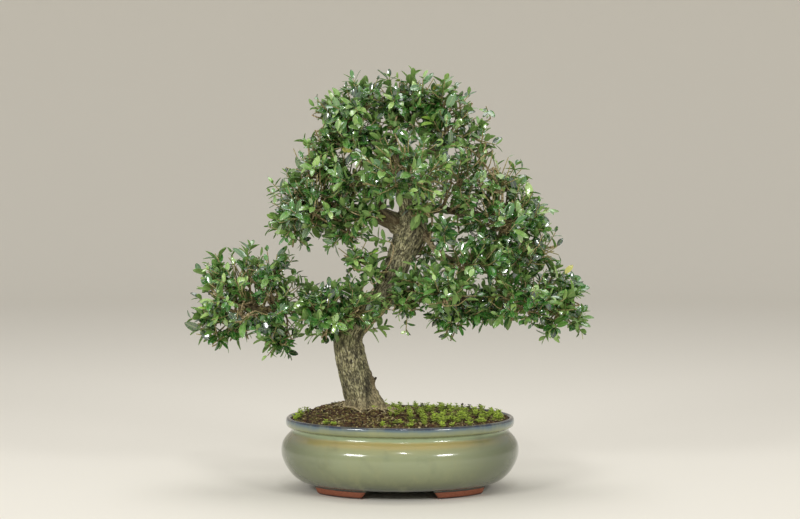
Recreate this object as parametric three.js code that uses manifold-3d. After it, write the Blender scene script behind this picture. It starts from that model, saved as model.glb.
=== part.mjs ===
// A phillyrea bonsai in its oval glazed pot. Millimetres, +Z up, the front of the tree towards -Y.
// Places are given from the middle of the pot's foot plane. At the end the whole group is moved so
// that its origin is the middle of its own bounding box, on the surface that the pot stands on.
import * as THREE from "three";
import { mergeVertices } from "three/addons/utils/BufferGeometryUtils.js";
import Module from "manifold-3d";

const wasm = await Module();
wasm.setup();

// Pot. Radii are half lengths along X, and OVAL_STEP is how much less the half width along Y is.
const POT_HEIGHT = 92;
const POT_SIDES = 28;
const OVAL_STEP = 30;
const ROUND_RADIUS = 90;
const FLOOR_UNDERSIDE = 11;
const FLOOR_TOP = 20;
const BASE_RADIUS = 120;
const BELLY_RADIUS = 150.5;
const BELLY_HEIGHT = 50;
const BELLY_CENTRE_RADIUS = 118;
const NECK_RADIUS = 138;
const NECK_HEIGHT = 75;
const LIP_RADIUS = 144;
const LIP_UNDERSIDE = 80;
const POT_WALL = 9;
const MOUTH_RADIUS = 138.5;
const MOUTH_DROP = 1;
const FOOT_OUTER_RADIUS = 116;
const FOOT_WIDTH = 18;
const FOOT_LEAN = 6;
const FRONT_GAP = { bottom: 48, top: 40 };
const END_GAP = { bottom: 39, top: 42 };
const DRAIN_PLACES = [-50, 50];
const DRAIN_RADIUS = 10;

// Gap between two nodes that touch on the real object.
const GAP = 0.35;

// Soil surface.
const SOIL_AT_WALL = 88;
const SOIL_AT_MIDDLE = 92;
const MOUND = { x: -58, y: 6, rise: 15.5, spread: 45 };
const SOIL_RINGS = 5;
const GRAIN_RISE = 1.3;

// Drainage screens and the clips that hold them.
const SCREEN = { side: 24, thick: 1.2, bars: 3, bar: 2.4, pitch: 10.8 };
const CLIP = { radius: 0.8, halfSpan: SCREEN.pitch / 2, y: SCREEN.pitch / 2, foot: 10, sides: 6 };

// Trunk, from its buried foot to the top of the crown: [x, y, z, radius] along its middle line.
const TRUNK = [
  [-43, 6, 72, 14],
  [-44, 6, 88, 22],
  [-45.5, 5, 102, 25],
  [-49.5, 4, 117, 21.5],
  [-57, 0, 144, 20.4],
  [-64, -5, 174, 19.2],
  [-64.5, -8, 196, 18.2],
  [-50, -7, 219, 17.5],
  [-27, -3, 239, 17],
  [-12.6, 0, 260, 16.2],
  [-1, 3, 293, 16.4],
  [12, 5, 318, 17.5],
  [13, 2, 341, 13],
  [6, -4, 368, 9.5],
  [-3, -7, 404, 6.5],
  [-8, -6, 434, 4.4],
  [-5, -5, 458, 3],
];
const TRUNK_SIDES = 10;
const TRUNK_STEPS = 22;
const FLARE = { count: 5, depth: 0.13, top: 135 };

// Buttress and surface roots at the trunk's foot, in the same form.
const ROOTS = [
  [[-43, 0, 150, 5], [-38.5, -2, 128, 8], [-29, -3, 109, 9], [-20, -4, 88, 6]],
  [[-48, -8, 118, 8], [-47, -20, 103, 8], [-42, -30, 88, 5]],
  [[-58, 12, 116, 8], [-66, 20, 102, 8], [-72, 26, 88, 5]],
  [[-60, -6, 112, 7], [-68, -13, 100, 7], [-74, -18, 88, 4]],
];
const ROOT_SIDES = 6;
const ROOT_STEPS = 3;

// Dead snag on the right of the trunk.
const SNAG = [[-44, -4, 136, 6], [-36, -6, 140, 4.5], [-31, -7, 142.5, 2.6]];

// Limbs from the trunk into the foliage, in the same form.
const LIMBS = {
  left_low: [
    [-58, -6, 209, 9],
    [-92, -8, 226, 7],
    [-130, -8, 234, 5.6],
    [-174, -6, 229, 4.2],
    [-214, -4, 240, 2.4],
  ],
  left_inner: [[-58, -8, 203, 6], [-68, -34, 212, 4.4], [-86, -58, 222, 2.6]],
  right_low: [
    [-16, 0, 250, 10],
    [34, 4, 243, 7.5],
    [92, 5, 238, 5.8],
    [150, 0, 234, 4],
    [196, -3, 228, 2.6],
  ],
  right_inner: [[-12, -4, 258, 6.5], [15, -35, 247, 4.4], [46, -61, 241, 2.7]],
  right_mid: [
    [18, 3, 326, 8],
    [38, -4, 318, 5.4],
    [48, -8, 303, 4.6],
    [72, -10, 290, 3.6],
    [108, -8, 284, 2.4],
  ],
  left_up: [[8, 3, 332, 10], [-30, 0, 352, 7], [-74, -4, 359, 4.8], [-124, -8, 352, 2.8]],
  right_up: [
    [14, 3, 334, 9],
    [42, 0, 356, 6.6],
    [78, 4, 350, 5],
    [124, 5, 345, 3.6],
    [158, 3, 340, 2.4],
  ],
  back_low: [[-6, 4, 284, 8], [4, 48, 287, 5], [18, 88, 288, 3]],
  back_up: [[10, 3, 350, 7], [2, 42, 364, 4.8], [0, 82, 376, 3]],
  front_up: [[5, -4, 374, 6], [4, -34, 386, 4], [4, -62, 394, 2.6]],
  crown_left: [[1, -6, 388, 6], [-24, -5, 414, 4.2], [-54, -2, 434, 2.6]],
  crown_right: [[-3, -7, 400, 6], [26, -4, 420, 4.2], [58, 0, 438, 2.6]],
  leader: [[-6, -5, 446, 3.6], [-2, -3, 458, 2.8], [2, -2, 466, 2.2]],
  sprig: [[-12, -4, 262, 5], [-34, -12, 280, 2.4], [-46, -15, 292, 1.8]],
};
const LIMB_SIDES = 5;

// Bare cut fork in front of the trunk.
const CUT_FORK = [
  [[-60, -20, 210, 2.6], [-52, -27, 222, 2.2], [-33, -29, 256, 1.5]],
  [[-52, -27, 222, 2.2], [-45, -30, 225, 1.6], [-38, -32, 224, 1.3]],
];

// Foliage pads: the limb that bears each, its middle, its half sizes, its number of sprays, and
// how far down its shell they stand where that is more than SHELL.span.
const SHELL = { top: 0.92, span: 1.5 };
const PADS = [
  { limb: "left_low", middle: [-194, -5, 234], reach: [56, 64, 48], sprays: 7, span: 1.75 },
  { limb: "left_inner", middle: [-92, -66, 232], reach: [24, 26, 22], sprays: 2 },
  { limb: "right_low", middle: [160, 0, 240], reach: [66, 70, 40], sprays: 7, span: 1.6 },
  { limb: "right_inner", middle: [52, -74, 246], reach: [28, 28, 24], sprays: 2 },
  { limb: "right_mid", middle: [88, -34, 298], reach: [32, 30, 18], sprays: 2 },
  { limb: "left_up", middle: [-106, -8, 368], reach: [48, 64, 46], sprays: 5, span: 1.6 },
  { limb: "right_up", middle: [130, 3, 358], reach: [54, 68, 50], sprays: 5, span: 1.6 },
  { limb: "back_low", middle: [22, 104, 298], reach: [30, 20, 16], sprays: 1 },
  { limb: "back_up", middle: [0, 104, 388], reach: [52, 30, 32], sprays: 2 },
  { limb: "front_up", middle: [4, -76, 402], reach: [44, 28, 34], sprays: 3 },
  { limb: "crown_left", middle: [-58, -2, 448], reach: [38, 44, 34], sprays: 3 },
  { limb: "crown_right", middle: [60, 0, 452], reach: [38, 44, 34], sprays: 3 },
  { limb: "leader", middle: [4, -2, 494], reach: [26, 28, 16], sprays: 3 },
];
const SPRIG_TIP = [-46, -15, 292];
const GOLDEN_ANGLE = Math.PI * (3 - Math.sqrt(5));

// Twig from a limb to the foot of a spray.
const TWIG = { root: 2.6, tip: 1.3, sides: 3, steps: 2, rise: 5, straight: 10 };

// Leafy shoots. Angles are in degrees.
const SHOOT = { length: 42, root: 1.2, tip: 1, sides: 4, bend: 4, behindMiddle: 27 };
const LIFT = 0.35;
const SHOOT_TURNS = [0, 12, -12, 24, -24, 36, -36, 50, -50];
const LEAF = { length: 24.5, vary: 0.12, arch: 0.16 };
const LEAF_BANDS = [
  { at: 0, half: 0, thick: 0 },
  { at: 0.38, half: 4.6, thick: 1.2 },
  { at: 0.72, half: 3.6, thick: 0.9 },
  { at: 1, half: 0, thick: 0 },
];
const LEAF_PAIRS = [
  { at: 0.16, lean: 66 },
  { at: 0.35, lean: 62 },
  { at: 0.55, lean: 58 },
  { at: 0.75, lean: 54 },
  { at: 0.94, lean: 47 },
];
const LEAF_ROLLS = [0, 35, -35, 70, -70];
const SEED = 20261;

const COLOURS = {
  pot: { color: 0x9ba380, roughness: 0.18, metalness: 0 },
  soil: { color: 0x3b2c20, roughness: 0.95, metalness: 0 },
  bark: { color: 0x7b745e, roughness: 0.85, metalness: 0 },
  leaf: { color: 0x2c6b33, roughness: 0.38, metalness: 0 },
  screen: { color: 0x1f2723, roughness: 0.6, metalness: 0 },
  wire: { color: 0x6d5744, roughness: 0.4, metalness: 0.9 },
};

const vector = (point) => new THREE.Vector3(point[0], point[1], point[2]);
const radians = THREE.MathUtils.degToRad;

// A repeatable random number generator.
function seeded(seed) {
  let state = seed >>> 0;
  return () => {
    state = (state + 0x6d2b79f5) >>> 0;
    let mixed = Math.imul(state ^ (state >>> 15), 1 | state);
    mixed = (mixed + Math.imul(mixed ^ (mixed >>> 7), 61 | mixed)) ^ mixed;
    return ((mixed ^ (mixed >>> 14)) >>> 0) / 4294967296;
  };
}

// Signed volume of an indexed mesh, positive where its faces point out.
function signedVolume(position, index) {
  const corners = [new THREE.Vector3(), new THREE.Vector3(), new THREE.Vector3()];
  let volume = 0;
  for (let i = 0; i < index.length; i += 3) {
    corners.forEach((corner, k) => corner.fromBufferAttribute(position, index[i + k]));
    volume += corners[0].dot(corners[1].clone().cross(corners[2])) / 6;
  }
  return volume;
}

// Turns a closed three.js geometry into a solid, with its faces pointing out.
function solid(geometry) {
  const bare = geometry.clone();
  bare.deleteAttribute("normal");
  bare.deleteAttribute("uv");
  const merged = mergeVertices(bare, 1e-3);
  const index = [];
  const source = merged.index.array;
  for (let i = 0; i < source.length; i += 3) {
    const [a, b, c] = [source[i], source[i + 1], source[i + 2]];
    if (a !== b && b !== c && c !== a) index.push(a, b, c);
  }
  if (signedVolume(merged.attributes.position, index) < 0) index.reverse();
  return new wasm.Manifold(new wasm.Mesh({
    numProp: 3,
    vertProperties: Float32Array.from(merged.attributes.position.array),
    triVerts: Uint32Array.from(index),
  }));
}

const joined = (solids) => solids.reduce((whole, piece) => whole.add(piece));
const without = (whole, cutters) => cutters.reduce((rest, cutter) => rest.subtract(cutter), whole);

// Turns a solid into a named mesh.
function meshOf(name, body, colour) {
  const source = body.getMesh();
  const geometry = new THREE.BufferGeometry();
  geometry.setAttribute("position", new THREE.BufferAttribute(source.vertProperties, 3));
  geometry.setIndex(new THREE.BufferAttribute(source.triVerts, 1));
  geometry.computeVertexNormals();
  const mesh = new THREE.Mesh(geometry, new THREE.MeshStandardMaterial(colour));
  mesh.name = name;
  return mesh;
}

// Half width of the pot along Y where its half length along X is radius.
function ovalWidth(radius) {
  if (radius > ROUND_RADIUS) return radius - OVAL_STEP;
  return (radius * (ROUND_RADIUS - OVAL_STEP)) / ROUND_RADIUS;
}

// Turns a profile about Z and squeezes each ring to the pot's oval.
function ovalLathe(profile) {
  const geometry = new THREE.LatheGeometry(profile, POT_SIDES).rotateX(Math.PI / 2);
  const position = geometry.getAttribute("position");
  for (let i = 0; i < position.count; i++) {
    const radius = Math.hypot(position.getX(i), position.getY(i));
    if (radius > 0) position.setY(i, (position.getY(i) / radius) * ovalWidth(radius));
  }
  return geometry;
}

// Inner face of the pot from its floor to below its mouth, brought in by a gap.
function innerProfile(gap) {
  const path = new THREE.Path();
  const centre = BELLY_CENTRE_RADIUS - OVAL_STEP / 5;
  const across = BELLY_RADIUS - POT_WALL - centre - gap;
  const neck = NECK_RADIUS - POT_WALL + 1.5 - gap;
  path.moveTo(0, FLOOR_TOP + gap);
  path.lineTo(centre, FLOOR_TOP + gap);
  path.absellipse(centre, BELLY_HEIGHT, across, BELLY_HEIGHT - FLOOR_TOP - gap, radians(-90), 0, false);
  path.absellipse(centre, BELLY_HEIGHT, across, NECK_HEIGHT - BELLY_HEIGHT - gap, 0, radians(50), false);
  path.lineTo(neck, NECK_HEIGHT);
  return path.getPoints(2);
}

function potProfile() {
  const outer = new THREE.Path();
  const centre = BELLY_CENTRE_RADIUS;
  const across = BELLY_RADIUS - centre;
  const below = BELLY_HEIGHT - FLOOR_UNDERSIDE;
  const above = NECK_HEIGHT - BELLY_HEIGHT + 2;
  outer.moveTo(0, FLOOR_UNDERSIDE);
  outer.lineTo(BASE_RADIUS, FLOOR_UNDERSIDE);
  outer.absellipse(centre, BELLY_HEIGHT, across, below, radians(-72), 0, false);
  outer.absellipse(centre, BELLY_HEIGHT, across, above, 0, radians(48), false);
  outer.lineTo(NECK_RADIUS, NECK_HEIGHT);
  outer.lineTo(NECK_RADIUS + 2, LIP_UNDERSIDE - 1);
  outer.lineTo(LIP_RADIUS - 0.5, LIP_UNDERSIDE + 1);
  outer.lineTo(LIP_RADIUS, POT_HEIGHT - 2);
  outer.lineTo(LIP_RADIUS - 2, POT_HEIGHT);
  outer.lineTo(MOUTH_RADIUS, POT_HEIGHT - MOUTH_DROP);
  return [...outer.getPoints(2), ...innerProfile(0).reverse()];
}

// A prism of a trapezium that is centred on Z: bottom and top are half widths, and it runs along Y.
function gapPrism(halfWidths, top) {
  const outline = new THREE.Shape();
  outline.moveTo(-halfWidths.bottom, -1);
  outline.lineTo(halfWidths.bottom, -1);
  outline.lineTo(halfWidths.top, top);
  outline.lineTo(-halfWidths.top, top);
  const length = 3 * BELLY_RADIUS;
  const geometry = new THREE.ExtrudeGeometry(outline, { depth: length, bevelEnabled: false });
  return geometry.translate(0, 0, -length / 2).rotateX(Math.PI / 2);
}

// The ring of the foot, cut into four by a gap at the front, the back and each end.
function feet() {
  const top = FLOOR_UNDERSIDE + 2;
  const ring = ovalLathe([
    new THREE.Vector2(FOOT_OUTER_RADIUS - FOOT_WIDTH, 0),
    new THREE.Vector2(FOOT_OUTER_RADIUS, 0),
    new THREE.Vector2(FOOT_OUTER_RADIUS + FOOT_LEAN - 1, top),
    new THREE.Vector2(FOOT_OUTER_RADIUS - FOOT_WIDTH - FOOT_LEAN, top),
    new THREE.Vector2(FOOT_OUTER_RADIUS - FOOT_WIDTH, 0),
  ]);
  const cutters = [
    solid(gapPrism(FRONT_GAP, top + 1)),
    solid(gapPrism(END_GAP, top + 1).rotateZ(Math.PI / 2)),
  ];
  return without(solid(ring), cutters);
}

function pot() {
  const drains = DRAIN_PLACES.map((x) => {
    const bore = new THREE.CylinderGeometry(DRAIN_RADIUS, DRAIN_RADIUS, 2 * POT_WALL, 12);
    return solid(bore.rotateX(Math.PI / 2).translate(x, 0, (FLOOR_UNDERSIDE + FLOOR_TOP) / 2));
  });
  return without(solid(ovalLathe(potProfile())).add(feet()), drains);
}

// Height of the soil surface: it rises from the wall to the middle, and in a mound round the trunk.
function soilHeight(x, y, share) {
  const fall = ((x - MOUND.x) ** 2 + (y - MOUND.y) ** 2) / (2 * MOUND.spread ** 2);
  const grain = GRAIN_RISE * Math.sin(x * 0.23) * Math.cos(y * 0.31 + x * 0.07);
  const inward = 1 - share;
  const mound = MOUND.rise * Math.exp(-fall) * Math.min(1, 3 * inward);
  return SOIL_AT_WALL + (SOIL_AT_MIDDLE - SOIL_AT_WALL + grain) * inward + mound;
}

// A soil pocket for a screen and its clip, with the gap all round them.
function pocket(x) {
  const side = SCREEN.side + 2 * GAP;
  const screenTop = FLOOR_TOP + GAP + SCREEN.thick + GAP;
  const clipTop = screenTop + 2 * CLIP.radius + GAP;
  const base = FLOOR_TOP - 1;
  const slotLength = 2 * (CLIP.halfSpan + CLIP.radius + GAP);
  const slotWidth = 2 * (CLIP.radius + GAP);
  const plate = new THREE.BoxGeometry(side, side, screenTop - base);
  const slot = new THREE.BoxGeometry(slotLength, slotWidth, clipTop - base);
  plate.translate(x, 0, (screenTop + base) / 2);
  slot.translate(x, CLIP.y, (clipTop + base) / 2);
  return solid(plate).add(solid(slot));
}

function soil(buriedWood) {
  const rim = innerProfile(GAP);
  const risen = (SOIL_AT_WALL - NECK_HEIGHT) / (POT_HEIGHT - MOUTH_DROP - NECK_HEIGHT);
  const edge = THREE.MathUtils.lerp(rim[rim.length - 1].x, MOUTH_RADIUS - GAP, risen);
  const profile = [...rim, new THREE.Vector2(edge, SOIL_AT_WALL)];
  for (let ring = SOIL_RINGS - 1; ring >= 0; ring--) {
    profile.push(new THREE.Vector2((edge * ring) / SOIL_RINGS, SOIL_AT_WALL + 1));
  }
  const geometry = ovalLathe(profile);
  const position = geometry.getAttribute("position");
  for (let i = 0; i < position.count; i++) {
    const [x, y] = [position.getX(i), position.getY(i)];
    if (position.getZ(i) < SOIL_AT_WALL) continue;
    const share = Math.hypot(x / edge, y / ovalWidth(edge));
    position.setZ(i, soilHeight(x, y, share));
  }
  return without(solid(geometry), [buriedWood, ...DRAIN_PLACES.map(pocket)]);
}

// A square of plastic mesh on the pot's floor: bars along X crossed by bars along Y.
function screen(x) {
  const z = FLOOR_TOP + GAP + SCREEN.thick / 2;
  const lines = Array.from({ length: SCREEN.bars }, (_, i) => (i - (SCREEN.bars - 1) / 2) * SCREEN.pitch);
  const bars = lines.flatMap((line) => [
    new THREE.BoxGeometry(SCREEN.side, SCREEN.bar, SCREEN.thick).translate(x, line, z),
    new THREE.BoxGeometry(SCREEN.bar, SCREEN.side, SCREEN.thick).translate(x + line, 0, z),
  ]);
  return joined(bars.map(solid));
}

// A wire staple: over the screen, down through the drainage hole and out under the pot's floor.
// It is one cylinder whose rings are set square to the bisector at each corner.
function clip(x) {
  const top = FLOOR_TOP + 2 * GAP + SCREEN.thick + CLIP.radius;
  const low = FLOOR_UNDERSIDE - GAP - CLIP.radius;
  const span = CLIP.halfSpan;
  const end = span + CLIP.foot;
  const corners = [[-end, low], [-span, low], [-span, top], [span, top], [span, low], [end, low]];
  const points = corners.map(([u, z]) => new THREE.Vector2(x + u, z));
  const geometry = new THREE.CylinderGeometry(CLIP.radius, CLIP.radius, 1, CLIP.sides, points.length - 1);
  const position = geometry.getAttribute("position");
  for (let i = 0; i < position.count; i++) {
    const step = Math.round((position.getY(i) + 0.5) * (points.length - 1));
    const here = points[step];
    const after = (points[step + 1] ?? here).clone().sub(here).normalize();
    const before = here.clone().sub(points[step - 1] ?? here).normalize();
    const along = before.clone().add(after).normalize();
    const mitre = before.length() * after.length() > 0 ? 1 / along.dot(after) : 1;
    const across = position.getX(i) * mitre;
    position.setXYZ(i, here.x + along.y * across, CLIP.y + position.getZ(i), here.y - along.x * across);
  }
  return solid(geometry);
}

// Shape factor of the trunk's flare, at an angle round it and a height above the table.
function flare(angle, z) {
  const fade = THREE.MathUtils.clamp((FLARE.top - z) / 40, 0, 1);
  return 1 + FLARE.depth * fade * Math.cos(FLARE.count * angle + 0.7);
}

// Two directions square to a line that runs along: the frame that a limb's sections are drawn in.
// reach is the limb from end to end, which picks one world axis for the whole limb.
function sectionFrame(reach, along) {
  const sizes = reach.toArray().map(Math.abs);
  const least = sizes.indexOf(Math.min(...sizes));
  const square = new THREE.Vector3().setComponent(least, 1);
  const side = square.cross(along).normalize();
  return { side, other: along.clone().cross(side) };
}

// A limb: a cylinder bent along a smooth curve through [x, y, z, radius] points and grown by a
// gap. Its sections stand square to the curve. shape can scale the radius round it.
function limb(route, sides, steps, gap = 0, shape = () => 1) {
  const curve = new THREE.CatmullRomCurve3(route.map(vector));
  const reach = vector(route[route.length - 1]).sub(vector(route[0]));
  const geometry = new THREE.CylinderGeometry(1, 1, 1, sides, steps);
  const position = geometry.getAttribute("position");
  for (let i = 0; i < position.count; i++) {
    const share = THREE.MathUtils.clamp(position.getY(i) + 0.5, 0, 1);
    const along = curve.getTangent(share);
    const { side, other } = sectionFrame(reach, along);
    const endGap = gap * (Number(share === 1) - Number(share === 0));
    const point = curve.getPoint(share).addScaledVector(along, endGap);
    const spot = share * (route.length - 1);
    const low = Math.min(Math.floor(spot), route.length - 2);
    const radius = THREE.MathUtils.lerp(route[low][3], route[low + 1][3], spot - low) + gap;
    const angle = Math.atan2(position.getZ(i), position.getX(i));
    const scale = radius * Math.hypot(position.getX(i), position.getZ(i)) * shape(angle, point.z);
    point.addScaledVector(side, Math.cos(angle) * scale);
    point.addScaledVector(other, Math.sin(angle) * scale);
    position.setXYZ(i, point.x, point.y, point.z);
  }
  return geometry;
}

// Trunk foot and roots, grown by a gap.
function trunkAndRoots(gap) {
  const trunk = solid(limb(TRUNK, TRUNK_SIDES, TRUNK_STEPS, gap, flare));
  return joined([trunk, ...ROOTS.map((route) => solid(limb(route, ROOT_SIDES, ROOT_STEPS, gap)))]);
}

// Where the sprays of a pad stand, evenly round its shell from the top down to its underside,
// each with the way that its shoot points.
function sprayPlaces(pad, random) {
  const middle = vector(pad.middle);
  const reach = vector(pad.reach);
  return Array.from({ length: pad.sprays }, (_, i) => {
    const height = SHELL.top - ((pad.span ?? SHELL.span) * (i + 0.3)) / pad.sprays;
    const turn = i * GOLDEN_ANGLE + random() * 0.5 + middle.x;
    const round = Math.sqrt(1 - height ** 2);
    const shell = new THREE.Vector3(Math.cos(turn) * round, Math.sin(turn) * round, height);
    const centre = middle.clone().add(shell.clone().multiply(reach));
    const out = new THREE.Vector3(shell.x, shell.y, 0.9 * shell.z + LIFT).normalize();
    const foot = centre.addScaledVector(out, -SHOOT.behindMiddle);
    return { name: `${pad.limb}_${i + 1}`, limb: pad.limb, foot, out };
  });
}

// A twig from the nearest part of its limb, rising a little and ending along the shoot.
function twigRoute(place) {
  const route = LIMBS[place.limb];
  const curve = new THREE.CatmullRomCurve3(route.map(vector));
  const shares = Array.from({ length: 21 }, (_, i) => 0.3 + 0.7 * (i / 20));
  const reachOf = (share) => curve.getPoint(share).distanceTo(place.foot) - 12 * share;
  const share = shares.reduce((best, next) => (reachOf(next) < reachOf(best) ? next : best));
  const start = curve.getPoint(share);
  const near = place.foot.clone().addScaledVector(place.out, -TWIG.straight);
  const half = start.clone().lerp(near, 0.55);
  half.z += TWIG.rise;
  const spots = [start, half, near, place.foot];
  return spots.map((spot, i) => [...spot.toArray(), THREE.MathUtils.lerp(TWIG.root, TWIG.tip, i / 3)]);
}

function wood(twigs) {
  const limbs = Object.values(LIMBS).map((route) => limb(route, LIMB_SIDES, route.length - 1));
  const small = [...twigs, ...CUT_FORK].map((route) => limb(route, TWIG.sides, TWIG.steps));
  const snag = limb(SNAG, ROOT_SIDES, 2);
  return joined([trunkAndRoots(0), ...[...limbs, ...small, snag].map(solid)]);
}

// A leaf: a sphere of three sides and three bands, drawn out to a blade with a point at each end and
// a keel below for its midrib. pose gives its foot, its axis and its upper side.
function leaf(pose, length, gap) {
  const side = pose.axis.clone().cross(pose.up);
  const geometry = new THREE.SphereGeometry(1, 3, 3);
  const position = geometry.getAttribute("position");
  for (let i = 0; i < position.count; i++) {
    const band = Math.round((3 * Math.acos(position.getY(i))) / Math.PI);
    const { at, half, thick } = LEAF_BANDS[band];
    const size = Math.hypot(position.getX(i), position.getZ(i)) || 1;
    const across = position.getZ(i) / size / Math.sin(Math.PI / 3);
    const down = (0.5 - position.getX(i) / size) / 1.5;
    const grown = half > 0 ? gap : 0;
    const point = pose.foot.clone().addScaledVector(pose.axis, (length + 2 * gap) * at);
    point.addScaledVector(side, across * (half + 2 * grown));
    point.addScaledVector(pose.up, grown - down * (thick + 3 * grown) - LEAF.arch * length * at * at);
    position.setXYZ(i, point.x, point.y, point.z);
  }
  return geometry;
}

// Leaf poses along one shoot, which is straight between its points: pairs that stand crosswise to
// each other, with a pair at the tip. The oldest pair has lost one leaf. Each leaf leaves the shoot
// through the middle of a face.
function leafPoses(points) {
  const reach = points[points.length - 1].clone().sub(points[0]);
  return LEAF_PAIRS.flatMap(({ at, lean }, pair) => {
    const spot = at * (points.length - 1);
    const low = Math.floor(spot);
    const along = points[low + 1].clone().sub(points[low]).normalize();
    const foot = points[low].clone().lerp(points[low + 1], spot - low);
    const { side, other } = sectionFrame(reach, along);
    const halves = pair > 0 ? [0, 1] : [0];
    return halves.map((half) => {
      const turn = (pair / 2 + half + 1 / SHOOT.sides) * Math.PI;
      const out = side.clone().multiplyScalar(Math.cos(turn)).addScaledVector(other, Math.sin(turn));
      const axis = along.clone().multiplyScalar(Math.cos(radians(lean)));
      axis.addScaledVector(out, Math.sin(radians(lean)));
      const up = along.clone().addScaledVector(new THREE.Vector3(0, 0, 1), 0.8);
      up.addScaledVector(axis, -up.dot(axis)).normalize();
      return { foot, axis, up, along };
    });
  });
}

// Whether a solid touches any of the solids that stand already.
function touches(candidate, standing) {
  const box = candidate.boundingBox();
  return standing.some(({ body, bounds }) => {
    const apart = [0, 1, 2].some((k) => box.min[k] > bounds.max[k] || box.max[k] < bounds.min[k]);
    return !apart && !candidate.intersect(body).isEmpty();
  });
}

const standingPiece = (body) => ({ body, bounds: body.boundingBox() });

// A shoot's points from a spray's foot along a way, with the droop of its own weight.
function shootPoints(foot, out, skip) {
  const start = foot.clone().addScaledVector(out, skip);
  const tip = foot.clone().addScaledVector(out, GAP + SHOOT.length);
  const bend = start.clone().lerp(tip, 0.5);
  bend.z -= SHOOT.bend;
  return [start, bend, tip];
}

function shootBody(points, gap) {
  const route = points.map((point, i) => [...point.toArray(), i ? SHOOT.tip : SHOOT.root]);
  return solid(limb(route, SHOOT.sides, points.length - 1, gap));
}

// The first way out of a spray's foot, least turned from its own, that is clear of what stands.
function clearWay(place, standing) {
  const upright = new THREE.Vector3(0, 0, 1);
  const ways = SHOOT_TURNS.map((turn) => place.out.clone().applyAxisAngle(upright, radians(turn)));
  const grown = (way) => shootBody(shootPoints(place.foot, way, 4 * GAP), GAP);
  return ways.find((way) => !touches(grown(way), standing)) ?? place.out;
}

// One leafy spray: a shoot with pairs of leaves. Each leaf is rolled round the shoot until it is
// clear of what stands already, or left out.
function spray(place, standing, random) {
  const points = shootPoints(place.foot, clearWay(place, standing), GAP);
  const pieces = [shootBody(points, 0)];
  for (const pose of leafPoses(points)) {
    const length = LEAF.length * (1 + LEAF.vary * (2 * random() - 1));
    for (const roll of LEAF_ROLLS) {
      const turned = {
        foot: pose.foot,
        axis: pose.axis.clone().applyAxisAngle(pose.along, radians(roll)),
        up: pose.up.clone().applyAxisAngle(pose.along, radians(roll)),
      };
      if (touches(solid(leaf(turned, length, GAP)), standing)) continue;
      pieces.push(solid(leaf(turned, length, 0)));
      break;
    }
  }
  return joined(pieces);
}

const random = seeded(SEED);
const places = PADS.flatMap((pad) => sprayPlaces(pad, random));
const sprigRoute = LIMBS.sprig.map(vector);
const sprigOut = sprigRoute[2].clone().sub(sprigRoute[1]).normalize();
const sprig = { name: "sprig", foot: vector(SPRIG_TIP), out: sprigOut };

const woodBody = wood(places.map(twigRoute));
const standing = [standingPiece(woodBody)];
const tree = new THREE.Group();
tree.add(meshOf("pot", pot(), COLOURS.pot));
tree.add(meshOf("soil", soil(trunkAndRoots(GAP)), COLOURS.soil));
tree.add(meshOf("wood", woodBody, COLOURS.bark));
DRAIN_PLACES.forEach((x, i) => {
  tree.add(meshOf(`screen_${i + 1}`, screen(x), COLOURS.screen));
  tree.add(meshOf(`clip_${i + 1}`, clip(x), COLOURS.wire));
});
for (const place of [...places, sprig]) {
  const body = spray(place, standing, random);
  standing.push(standingPiece(body));
  tree.add(meshOf(`spray_${place.name}`, body, COLOURS.leaf));
}

// The origin goes to the middle of the bounding box, at the foot of the pot.
const bounds = new THREE.Box3().setFromObject(tree, true);
const middle = bounds.getCenter(new THREE.Vector3());
tree.position.set(-middle.x, -middle.y, -bounds.min.z);
const bonsai = new THREE.Group();
bonsai.add(tree);

export default bonsai;
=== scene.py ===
"""A phillyrea bonsai in its oval celadon pot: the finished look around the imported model.

Lengths in the classes are millimetres in the tree's own frame: the middle of the pot's foot
plane, with the front of the tree towards -Y. Meshes are written in metres, in the row frame.
"""

import logging
import math
from dataclasses import dataclass, field
from enum import Enum
from itertools import combinations
from typing import Sequence, Union

import bmesh
import bpy
import numpy as np
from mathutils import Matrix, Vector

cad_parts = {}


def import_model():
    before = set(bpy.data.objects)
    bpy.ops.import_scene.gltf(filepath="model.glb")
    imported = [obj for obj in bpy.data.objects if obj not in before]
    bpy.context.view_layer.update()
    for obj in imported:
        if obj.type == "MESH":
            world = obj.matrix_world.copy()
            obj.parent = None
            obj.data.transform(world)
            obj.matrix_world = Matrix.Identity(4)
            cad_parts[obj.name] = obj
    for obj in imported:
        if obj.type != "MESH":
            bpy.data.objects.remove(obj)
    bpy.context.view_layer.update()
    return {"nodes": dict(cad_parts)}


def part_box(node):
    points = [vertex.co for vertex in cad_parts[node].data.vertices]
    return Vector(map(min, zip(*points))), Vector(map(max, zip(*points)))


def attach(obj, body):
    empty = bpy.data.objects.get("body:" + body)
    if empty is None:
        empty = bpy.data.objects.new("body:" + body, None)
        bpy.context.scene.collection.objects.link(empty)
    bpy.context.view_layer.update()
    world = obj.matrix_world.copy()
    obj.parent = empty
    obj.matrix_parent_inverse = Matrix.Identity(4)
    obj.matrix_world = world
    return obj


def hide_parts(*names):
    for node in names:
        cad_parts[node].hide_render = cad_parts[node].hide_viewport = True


log = logging.getLogger("bonsai")

METRES = 0.001
GOLDEN = (1 + math.sqrt(5)) / 2
GOLDEN_ANGLE = math.pi * (3 - math.sqrt(5))
UPRIGHT = np.array([0.0, 0.0, 1.0])

Colour = tuple[float, float, float, float]
Pair = tuple[float, float]
Point = tuple[float, float, float]
Station = tuple[float, float, float, float]
Array = np.ndarray
Random = np.random.Generator
Material = bpy.types.Material


class Slot(Enum):
    """The record's material slots."""

    GLAZE = "glaze"
    SOIL = "soil"
    BARK = "bark"
    LEAF = "leaf"
    SCREEN = "screen_plastic"
    CLIP = "clip_wire"


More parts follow.
